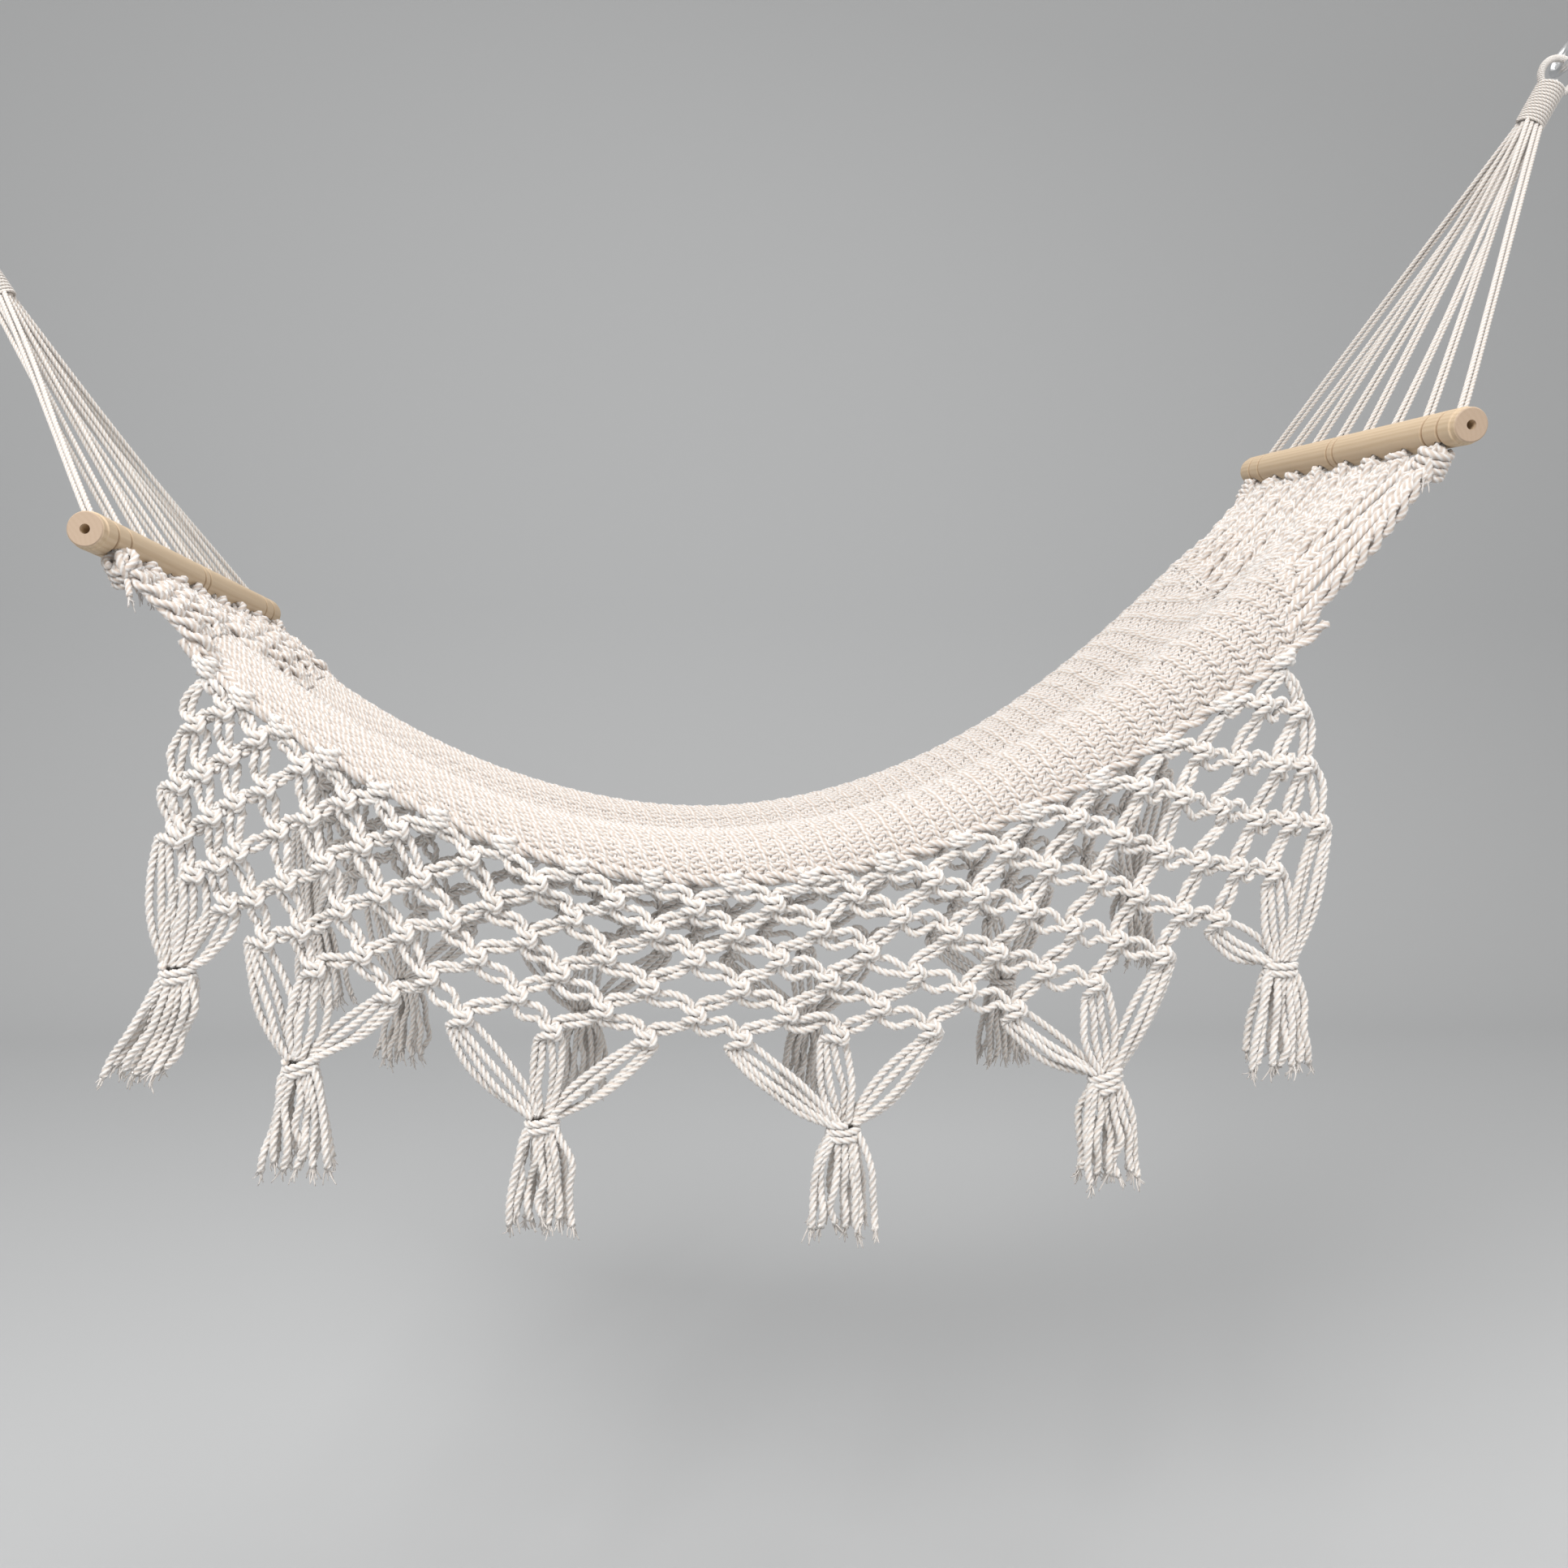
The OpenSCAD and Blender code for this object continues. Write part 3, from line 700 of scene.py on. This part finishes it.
def braid_path(end, i, rng):
    """Bed rope i from the weave through its four-strand braid to its lacing knot."""
    braid, strand = divmod(i, PER_BRAID)
    x = head_x(end, i) + np.array([0.0, 1e-4])
    start = bed_rope(i, x)[0]
    foot = bed_point(x[0], ROPE_T[braid * PER_BRAID:(braid + 1) * PER_BRAID].mean())
    knot = braid_knot(end, braid)
    run = np.linalg.norm(knot - foot)
    u = np.linspace(0, 1, 80)
    along = (knot - foot) / run
    side = np.array([0, 1, 0]) - along * along[1]
    side /= np.linalg.norm(side)
    up = np.cross(side, along)
    pace = BRAID_PERIOD * (0.85 + 0.45 * np.random.default_rng(braid).random())
    a = 2 * math.pi * (u * run / pace + strand / PER_BRAID) + BRAID_STAGGER * braid
    width = 1 - 0.35 * smooth(u)
    centre = mix(foot, knot, u[:, None]) + up * (BRAID_ARCH * np.sin(math.pi * u))[:, None]
    braided = centre + side * (BRAID_HALF * np.sin(a) * width)[:, None] \
        + up * (BRAID_DEPTH * np.sin(2 * a))[:, None]
    braided += np.outer(np.sin(math.pi * u), rng.normal(0, BRAID_JITTER, 3))
    return mix(start + centre - foot, braided, smooth(u / BRAID_JOIN)[:, None])


def braid_knot(end, braid):
    """Where a braid meets its lacing knot."""
    return on_bar(end, hole_y(braid // 2) + (KNOT_SPLIT if braid % 2 else -KNOT_SPLIT), 0, KNOT_UP)


def lacing_filler(ropes, end, braid):
    """Two straight ropes from behind the weave to the knots, inside a braid or (at a half) between two."""
    t = np.interp(braid, np.arange(BRAIDS), ROPE_T.reshape(BRAIDS, PER_BRAID).mean(axis=1))
    x = head_x(end, int(braid) * PER_BRAID) + (FILLER_IN if end == "left" else -FILLER_IN)
    foot = bed_point(x, t) - bed_normal(x, t) * FILLER_DEPTH
    knot = (braid_knot(end, int(braid)) + braid_knot(end, math.ceil(braid))) / 2
    u = np.linspace(0, 1, 30)[:, None]
    for s in (-1, 1):
        path = mix(foot, knot, u) + [0, s * FILLER_HALF, 0] * (1 - 0.4 * u)
        ropes.add(path, LACING_ROPE, 9, phase=s, hand=-1, shade=0.8)


def make_lacing():
    """Braids, the ropes between them, and the knots."""
    for end in ENDS:
        ropes = Ropes()
        for i in range(BED_ROPES):
            rng = np.random.default_rng(2000 + i)
            ropes.add(braid_path(end, i, rng), LACING_ROPE, 9, phase=any_phase(rng),
                      shade=rng.uniform(0.2, 0.8))
        for half_braid in range(2 * BRAIDS - 1):
            lacing_filler(ropes, end, half_braid / 2)
        for j in range(CLEWS):
            knot_wraps(ropes, end, j)
        head = bed_point(HEAD[end], np.array(0.0))
        knots = on_bar(end, 0, 0, KNOT_UP - 0.006)
        place(ropes, f"{end}_lacing_ropes", "hammock", BED_COTTON, "bed_rope", f"{end}_lacing",
              blend=(f"{end}_rig", head, knots))


def coil(centre, axis, radius, turns, pitch, start, squash=1.0, lean=0.0, steps=14):
    """A coil round axis through centre, leaning a little."""
    axis = axis / np.linalg.norm(axis)
    side = np.cross(axis, [0.2, 1, 0.1])
    side /= np.linalg.norm(side)
    other = np.cross(axis, side)
    u = np.linspace(0, 1, max(6, int(steps * turns)))
    a = 2 * math.pi * turns * u + start
    height = (u - 0.5) * turns * pitch + lean * radius * np.sin(a)
    return centre + radius * (np.cos(a)[:, None] * side + squash * np.sin(a)[:, None] * other) \
        + height[:, None] * axis


def knot_wraps(ropes, end, j):
    """A lacing knot: a barrel of turns round the bundle, a turn across them, and short frayed ends."""
    rng = np.random.default_rng(50 + j + 100 * (end == "left"))
    big = KNOT_SIZES[j]
    centre = on_bar(end, hole_y(j), 0.001, KNOT_UP - 0.003 * big) + [0, 0, -0.001]
    tip = PULL[end] + rng.uniform(-0.45, 0.45, 3)
    for radius, turns in KNOT_LAYERS:
        barrel = coil(centre, tip, radius * big, turns, KNOT_PITCH, any_phase(rng), squash=0.9, lean=0.18)
        ropes.add(barrel, LACING_ROPE, 9, phase=any_phase(rng), shade=rng.uniform(0.1, 0.4))
    over = np.cross(tip, [rng.uniform(-0.5, 0.5), 1, rng.uniform(-0.5, 0.5)])
    hitch = coil(centre, over, KNOT_OVER * big, 0.8, 0.004, any_phase(rng))
    ropes.add(hitch, LACING_ROPE, 9, phase=any_phase(rng), shade=rng.uniform(0.1, 0.5))
    for _ in range(2):
        out = np.array([rng.uniform(-0.4, 0.4), rng.choice([-1, 1]) * rng.uniform(0.3, 1), 0])
        out = out + PULL[end] * rng.uniform(0.6, 1.2)
        out /= np.linalg.norm(out)
        length = rng.uniform(0.010, 0.018)
        begin = centre + out * 0.007
        rise = begin + out * 0.6 * length + [0, 0, 0.001]
        path = curve([begin, rise, begin + out * length - [0, 0, 0.003]])
        ropes.add(path, BED_ROPE, 9, phase=any_phase(rng), shade=0.5)
        fray(ropes, path[-1], path[-1] - path[-3], 0.008, BED_ROPE, rng, 6)


# The knots at both edges are the biggest, because they also take the selvedge ropes
KNOT_SIZES = (1.35, 1.1, 1.0, 0.95, 0.95, 1.0, 1.05, 1.2)
KNOT_LAYERS = ((0.0078, 3.3), (0.0030, 3.0))  # radius and number of turns, outside and inside
KNOT_PITCH, KNOT_OVER = 0.0056, 0.0082  # pitch of the turns, and radius of the turn across them


def fray(ropes, at, direction, length, diameter, rng, count):
    """Loose yarns at a cut end."""
    direction = direction / np.linalg.norm(direction)
    for _ in range(count):
        spread = direction + rng.normal(0, 0.28, 3)
        far = at + spread * length * rng.uniform(0.6, 1.15)
        bow = rng.normal(0, 0.0008, 3)
        start = at - direction * 0.003 + rng.normal(0, diameter * 0.16, 3)
        ropes.add(curve([start, mix(at, far, 0.45) + bow, far], 5), diameter * rng.uniform(0.22, 0.36), 6,
                  lay=9, taper=0.55, phase=any_phase(rng), shade=rng.uniform(0.0, 0.6))


# ---------------------------------------------------------------- selvedge, net and tassels

SELVEDGE_ROPE, SELVEDGE_STEP = 0.0062, 0.003
SELVEDGE_TURN, SELVEDGE_TWIST = 0.034, 0.0028  # length and radius of one turn of its two ropes
HITCH_WIDTH, HITCH_DEPTH, HITCH_TURNS, HITCH_PITCH = 0.0066, 0.0066, 2.4, CORD * 0.64


def selvedge_path(side):
    x = np.arange(HEAD["left"] - 0.004, HEAD["right"] + 0.004, SELVEDGE_STEP)
    return bed_point(x, np.full_like(x, side)) + [0, side * EDGE_CORD * 0.6, 0]


def make_selvedges():
    """Two ropes twisted together along each edge, and a wrapped hitch at each column of the fringe."""
    for name, side in SIDES.items():
        ropes = Ropes()
        path = selvedge_path(side)
        for k in range(2):
            rng = np.random.default_rng(70 + k)
            turned = len(path) * SELVEDGE_STEP / SELVEDGE_TURN * 2 * math.pi
            a = np.linspace(0, turned, len(path)) + k * math.pi
            twist = np.stack([np.zeros_like(a), np.cos(a), np.sin(a)], 1) * SELVEDGE_TWIST
            ropes.add(path + twist, SELVEDGE_ROPE, 9, phase=any_phase(rng))
        place(ropes, f"{name}_selvedge", "hammock", BED_COTTON, "bed_rope", f"{name}_edge_cord")
        ropes = Ropes()
        for c in range(COLUMNS):
            rng = np.random.default_rng(300 + c + int(side))
            a = np.linspace(0, 2 * math.pi * HITCH_TURNS, int(16 * HITCH_TURNS)) + any_phase(rng)
            climb = HITCH_PITCH * HITCH_TURNS * np.linspace(-0.5, 0.5, len(a))
            wraps = np.stack([HITCH_WIDTH * np.cos(a), HITCH_DEPTH * np.sin(a), climb], 1)
            path = edge_point(side, c) + [0, -side * 0.002, 0.0045] + wraps
            ahead = bed_point(edge_x(c) + 0.01, np.array(side)) - bed_point(edge_x(c) - 0.01, np.array(side))
            slope = 0.5 * ahead[2] / ahead[0] + rng.normal(0, 0.1)
            path[:, 2] += slope * (path[:, 0] - path[:, 0].mean())
            ropes.add(path, CORD, 12, phase=any_phase(rng), shade=rng.uniform(0.0, 0.3))
        place(ropes, f"{name}_hitches", "hammock", FRINGE_COTTON, "fringe_cord", f"{name}_edge_hitches")


# A square knot, in cord diameters: x to the right, y outwards, z up. The front cord crosses twice and its
# bend on the right is held by a bight, the back cord crosses behind, and two run down through the middle.
FRONT_IN = [(-1.45, 0.0, 1.15), (-1.05, 0.4, 0.8), (-0.5, 0.9, 0.55), (0.2, 1.05, 0.45), (0.9, 0.6, 0.35),
            (1.05, 0.1, 0.1)]
FRONT_OUT = [(1.05, 0.1, -0.1), (0.9, 0.6, -0.35), (0.2, 1.05, -0.4), (-0.6, 0.85, -0.45), (-1.0, 0.35, -0.8),
             (-1.35, 0.0, -1.35)]
BACK_IN = [(1.45, -0.1, 0.8), (0.8, -0.55, 0.45), (0.0, -0.75, 0.3)]
BACK_OUT = [(0.1, -0.3, -0.2), (0.8, -0.1, -0.4), (1.5, 0.1, -0.8)]
TOP_LEFT_IN, TOP_RIGHT_IN = ([(-0.5, 0.3, 1.5), (-0.2, 0.3, 0.75), (-0.1, 0.0, 0.0)],
                             [(0.7, 0.15, 1.35), (0.35, 0.2, 0.7), (0.2, 0.0, 0.0)])
LOW_LEFT_OUT, LOW_RIGHT_OUT = ([(-0.05, 0.0, 0.0), (-0.15, 0.05, -0.8), (-0.6, 0.05, -1.45)],
                               [(0.1, 0.0, 0.0), (0.15, 0.2, -0.85), (0.4, 0.2, -1.6)])
BIGHT = [(0.7, 0.1, 0.85), (1.05, 0.75, 0.6), (1.2, 1.05, 0.0), (1.05, 0.75, -0.6), (0.7, 0.1, -0.85)]
KNOT_LEAN, KNOT_STRAY = 0.15, 0.0014  # spread of the knots' lean, in radians, and of their places
EYE_BOW, CLOSE_BOW = 0.0036, 0.0012  # how far the cords of a leg part, falling to the right and to the left


def knot_turn(side, c, r):
    """A knot faces between its two lower legs, and leans a little at random."""
    here = net(side, c, r)
    down = unit(net(side, c + 0.5, r + 1) - here) + unit(net(side, c - 0.5, r + 1) - here)
    rng = np.random.default_rng(int(700 + 100 * c + 10 * r + side))
    return math.atan2(down[0], -down[2]) + rng.normal(0, KNOT_LEAN)


def in_knot(side, c, r, points):
    """Points of a knot's cord, placed at the knot in column c and row r."""
    turn = knot_turn(side, c, r)
    out = []
    for x, y, z in points:
        out.append(knot_place(side, c, r) + CORD * np.array([
            x * math.cos(turn) - z * math.sin(turn), side * y, x * math.sin(turn) + z * math.cos(turn)]))
    return out


def leg_cord(ropes, first, last, bow, rng):
    """One cord of a leg, from inside one knot to inside the next, bowed between them."""
    p, q = first[-1], last[0]
    points = first + [mix(p, q, u) + bow * math.sin(math.pi * u) + rng.normal(0, 0.0005, 3)
                      for u in (0.35, 0.65)] + last
    ropes.add(curve(points, 6), CORD, 12, phase=any_phase(rng), shade=rng.uniform(0.0, 0.8))


def make_leg(ropes, side, top, foot, rng):
    """A pair of cords from the knot top = (column, row) down to the knot foot."""
    right = foot[0] > top[0]
    across = knot_place(side, *foot) - knot_place(side, *top)
    level = abs(across[0]) / np.linalg.norm(across)  # near 0 on a steep leg
    upward = np.array([-across[2], 0, across[0]]) / np.linalg.norm(across) * (1 if right else -1)
    bow = upward * (EYE_BOW * level * rng.uniform(0.5, 1.7) if right else CLOSE_BOW * rng.uniform(0.2, 1.6))
    slack = np.array([0, side * rng.uniform(-0.0015, 0.003), 0])
    upper, lower = [knot_place(side, *top)], [knot_place(side, *top)]
    if top[1] > 0:
        upper = in_knot(side, *top, BACK_OUT if right else FRONT_OUT)
        lower = in_knot(side, *top, LOW_RIGHT_OUT if right else LOW_LEFT_OUT)
    leg_cord(ropes, upper, in_knot(side, *foot, TOP_LEFT_IN if right else TOP_RIGHT_IN), slack + bow, rng)
    leg_cord(ropes, lower, in_knot(side, *foot, FRONT_IN if right else BACK_IN), slack - bow, rng)


def make_bight(ropes, side, c, r, rng):
    path = curve(in_knot(side, c, r, BIGHT), 6)
    ropes.add(path, CORD, 12, phase=any_phase(rng), shade=rng.uniform(0.0, 0.5))


def make_side_leg(ropes, side, c, r, rng):
    """The pair that runs straight down at an end of the fringe, past one row."""
    left = c == 0
    top, foot = (c, r), (c, r + 2)
    outer, inner = [knot_place(side, *top)], [knot_place(side, *top)]
    if r > 0:
        outer = in_knot(side, *top, FRONT_OUT if left else BACK_OUT)
        inner = in_knot(side, *top, LOW_LEFT_OUT if left else LOW_RIGHT_OUT)
    out = np.array([-1 if left else 1, 0, 0]) * 0.0035
    leg_cord(ropes, outer, in_knot(side, *foot, FRONT_IN if left else BACK_IN), out, rng)
    leg_cord(ropes, inner, in_knot(side, *foot, TOP_LEFT_IN if left else TOP_RIGHT_IN), out * 0.2, rng)


def knot_place(side, c, r):
    """The net's knots stand a little out of true, the same way each run."""
    if r == 0:
        return net(side, c, r) + [0, 0, -0.004]
    rng = np.random.default_rng(int(9000 + 100 * c + 10 * r + side))
    return net(side, c, r) + rng.normal(0, KNOT_STRAY, 3) * [1, 1.2, 1]


def gather_legs(ropes, side, name, k, rng):
    """Four cords from each of a panel's three lowest knots, down to the gathering knot."""
    for n in range(PER_PANEL):
        c = PER_PANEL * k + n
        stop = GATHER[name][k] + [(n - 1) * 0.006, 0, 0.005]
        starts = [in_knot(side, c, ROWS, way) for way in (FRONT_OUT, LOW_LEFT_OUT, LOW_RIGHT_OUT, BACK_OUT)]
        for m, first in enumerate(starts):
            s = (m - 1.5) / 1.5
            p = first[-1]
            run = stop - p
            flat = np.array([-run[2], 0, run[0]]) / np.linalg.norm(run)
            end_at = stop + [s * 0.0035, side * rng.uniform(-0.004, 0.004), 0]
            part = flat * s * rng.uniform(0.0040, 0.0075)
            drop = np.array([0, side * rng.uniform(-0.002, 0.003), -rng.uniform(0.001, 0.005)])
            points = first + [mix(p, end_at, u) + (part + drop) * math.sin(math.pi * u)
                              + rng.normal(0, 0.0006, 3) for u in (0.25, 0.5, 0.75)] + [end_at]
            ropes.add(curve(points, 6), CORD, 12, phase=any_phase(rng), shade=rng.uniform(0.0, 0.8))


def make_fringe():
    """The net, one piece to a panel of three columns."""
    for name, side in SIDES.items():
        for k in range(PANELS):
            ropes = Ropes()
            first, last = PER_PANEL * k, PER_PANEL * k + PER_PANEL - 1
            rng = np.random.default_rng(500 + k + 40 * (side > 0))
            for r in range(ROWS):
                for c in range(first, last + 1):
                    for h in (-0.5, 0.5):
                        if 0 < c + h < COLUMNS - 1:
                            top, foot = (c, c + h) if r % 2 == 0 else (c + h, c)
                            make_leg(ropes, side, (top, r), (foot, r + 1), rng)
            for c in (0, COLUMNS - 1):
                if first <= c <= last:
                    for r in range(0, ROWS, 2):
                        make_side_leg(ropes, side, c, r, rng)
            for r in range(1, ROWS + 1):
                for c in range(first, last + 1):
                    if r % 2 == 0 or c + 0.5 < COLUMNS - 1:
                        make_bight(ropes, side, c + 0.5 * (r % 2), r, rng)
            gather_legs(ropes, side, name, k, rng)
            place(ropes, f"{name}_fringe_cords_{k + 1}", "hammock", FRINGE_COTTON, "fringe_cord",
                  f"{name}_fringe_{k + 1}")


GATHER = {n: [np.array(joint(f"{n}_tassel_{k + 1}_swing")["pos_m"], float) for k in range(PANELS)]
          for n in SIDES}
STRAND_LENGTH, TASSEL_SPREAD = 0.076, 0.0235
TASSEL_ROWS = ((7, 1.0, 0.55), (5, 0.82, -0.55))  # cords in a row, its half width, and its place outwards
BAND_WIDTH, BAND_DEPTH, BAND_TURNS, BAND_PITCH = 0.0112, 0.0085, 2.3, CORD * 0.85
STRAND_TOP = 0.0095  # half width of the strands at the band
# Places down a strand, and how far it has spread at each, as shares of the whole
STRAND_DOWN = np.array([0.0, 0.12, 0.35, 0.6, 0.82, 1.0])
STRAND_OPEN = np.array([0.0, 0.3, 0.62, 0.75, 0.88, 1.0])
BENT_TASSEL, BEND = ("front", 0), -0.030  # one tassel hangs with its tips pushed to the left


def make_tassel(name, side, k):
    """A wrapped band and its loose cords, front and rear row, each cord frayed at its end."""
    ropes = Ropes()
    rng = np.random.default_rng(800 + k + 40 * (side > 0))
    top = GATHER[name][k]
    push = np.array([BEND if (name, k) == BENT_TASSEL else rng.normal(0, 0.004), 0, 0])
    a = np.linspace(0, 2 * math.pi * BAND_TURNS, 40) + any_phase(rng)
    climb = BAND_PITCH * BAND_TURNS * np.linspace(-0.5, 0.5, len(a))
    band = top + np.stack([BAND_WIDTH * np.cos(a), BAND_DEPTH * np.sin(a), climb], 1)
    band[:, 2] += rng.normal(0, 0.12) * (band[:, 0] - top[0])
    ropes.add(band, CORD, 12, phase=any_phase(rng), shade=rng.uniform(0.0, 0.3))
    places = [(half * x, deep) for count, half, deep in TASSEL_ROWS for x in np.linspace(-1, 1, count)]
    for across, deep in places:
        out = np.array([across, side * deep * 0.7, 0]) + rng.normal(0, 0.05, 3) * [1, 1, 0]
        long = STRAND_LENGTH * rng.uniform(0.86, 1.0)
        widths = mix(STRAND_TOP, TASSEL_SPREAD, STRAND_OPEN)
        points = top + out * widths[:, None] + np.outer(STRAND_DOWN, [0, 0, -long]) + [0, 0, -0.001]
        points += np.outer(STRAND_DOWN ** 1.5, push)
        points[2:] += rng.normal(0, 0.0016, (4, 3)) * [1, 1, 0.4]
        path = curve(points, 6)
        ropes.add(path, CORD, 12, phase=any_phase(rng), shade=rng.uniform(0.0, 0.9))
        fray(ropes, path[-1], path[-1] - path[-4], 0.009, CORD, rng, 7)
    place(ropes, f"{name}_tassel_cords_{k + 1}", f"{name}_tassel_{k + 1}_body", FRINGE_COTTON,
          "fringe_cord", f"{name}_tassel_{k + 1}")


def make_tassels():
    for name, side in SIDES.items():
        for k in range(PANELS):
            make_tassel(name, side, k)


# ---------------------------------------------------------------- clews, eyes and necks

NECK_LENGTH, NECK_RADIUS, EYE_RADIUS, EYE_SEAT = 0.038, 0.0115, 0.015, 0.010
THROAT_PITCH = 0.0043  # between the clew cords where they enter the neck
NECK_LAP = 0.003  # how far the neck reaches over the eye
CLEW_JITTER = 0.0006
SERVING_CORD, SERVING_TURNS, SERVING_RADIUS = 0.0017, 62, 0.0024
WHIPPING_CORD, WHIPPING_TURNS, WHIPPING_PITCH = 0.0031, 12.5, 0.0030


def throat(end):
    """The neck's lower end, where the clew cords leave it."""
    return BEARING[end] + PULL[end] * (2 * EYE_RADIUS - EYE_SEAT - NECK_LAP + NECK_LENGTH)


def make_clews():
    """A pair of cords from the neck through each cross hole to its lacing knot."""
    for end in ENDS:
        p = PULL[end]
        v = np.array([-p[2], 0, p[0]])
        for i in range(CLEWS):
            ropes = Ropes()
            column, layer = i // 2 - (CLEWS / 2 - 1) / 2, 1 if i % 2 == 0 else -1
            for s in (-1, 1):
                rng = np.random.default_rng(600 + 2 * i + (s > 0) + 50 * (end == "left"))
                top = throat(end) - p * 0.003 + [0, column * THROAT_PITCH, 0] \
                    + v * (layer + s / 2) * THROAT_PITCH
                mouth = on_bar(end, hole_y(i), s * THROAT_PITCH / 2, BAR_RADIUS + 0.003)
                points = [top, mix(top, mouth, 0.33), mix(top, mouth, 0.66), mouth,
                          on_bar(end, hole_y(i), s * THROAT_PITCH / 2, 0),
                          on_bar(end, hole_y(i), s * THROAT_PITCH / 2, -BAR_RADIUS - 0.014)]
                points[1] = points[1] + rng.normal(0, CLEW_JITTER, 3)
                points[2] = points[2] + rng.normal(0, CLEW_JITTER, 3)
                ropes.add(curve(points, 24), CLEW_CORD, 9, phase=any_phase(rng),
                          shade=rng.uniform(0.1, 0.6))
            place(ropes, f"{end}_clew_cords_{i + 1}", f"{end}_rig", CLEW_COTTON, "clew_cord",
                  f"{end}_clew_{i + 1}")


def make_eyes():
    """The eye is served with fine cord all round, and the neck is whipped."""
    for end in ENDS:
        p = PULL[end]
        v = np.array([-p[2], 0, p[0]])
        centre = BEARING[end] + p * (EYE_RADIUS - EYE_SEAT)
        ropes = Ropes()
        a = np.linspace(0, 2 * math.pi, 900)
        ring = centre + EYE_RADIUS * (np.cos(a)[:, None] * p + np.sin(a)[:, None] * v)
        outward = (ring - centre) / EYE_RADIUS
        b = a * SERVING_TURNS
        wound = np.cos(b)[:, None] * outward + np.sin(b)[:, None] * np.array([0, 1, 0])
        path = ring + SERVING_RADIUS * wound
        ropes.add(path, SERVING_CORD, 6, step=0.0012, shade=0.4)
        place(ropes, f"{end}_eye_serving", f"{end}_rig", CLEW_COTTON, "clew_cord", f"{end}_eye")
        ropes = Ropes()
        whipped = throat(end) - p * NECK_LENGTH / 2
        path = coil(whipped, p, NECK_RADIUS - 0.0006, WHIPPING_TURNS, WHIPPING_PITCH, 0.0, steps=30)
        ropes.add(path, WHIPPING_CORD, 9, shade=0.3)
        core = coil(whipped, p, 0.0045, 4, 0.0092, 1.0, steps=30)
        ropes.add(core, 0.013, 9, lay=4, shade=0.5)
        place(ropes, f"{end}_neck_whipping", f"{end}_rig", CLEW_COTTON, "clew_cord", f"{end}_neck")


def dress_frame():
    """Carried-over CAD nodes get their finished materials."""
    metal = steel("ring_steel")
    for end in ENDS:
        for node, material in ((f"{end}_bar", wood(f"{end}_bar_wood", end)), (f"{end}_ring", metal)):
            ob = frame["nodes"][node]
            ob.data.materials.clear()
            ob.data.materials.append(material)


set_camera()
set_stage()
set_lights()
make_bed()
make_lacing()
make_selvedges()
make_fringe()
make_tassels()
make_clews()
make_eyes()
dress_frame()
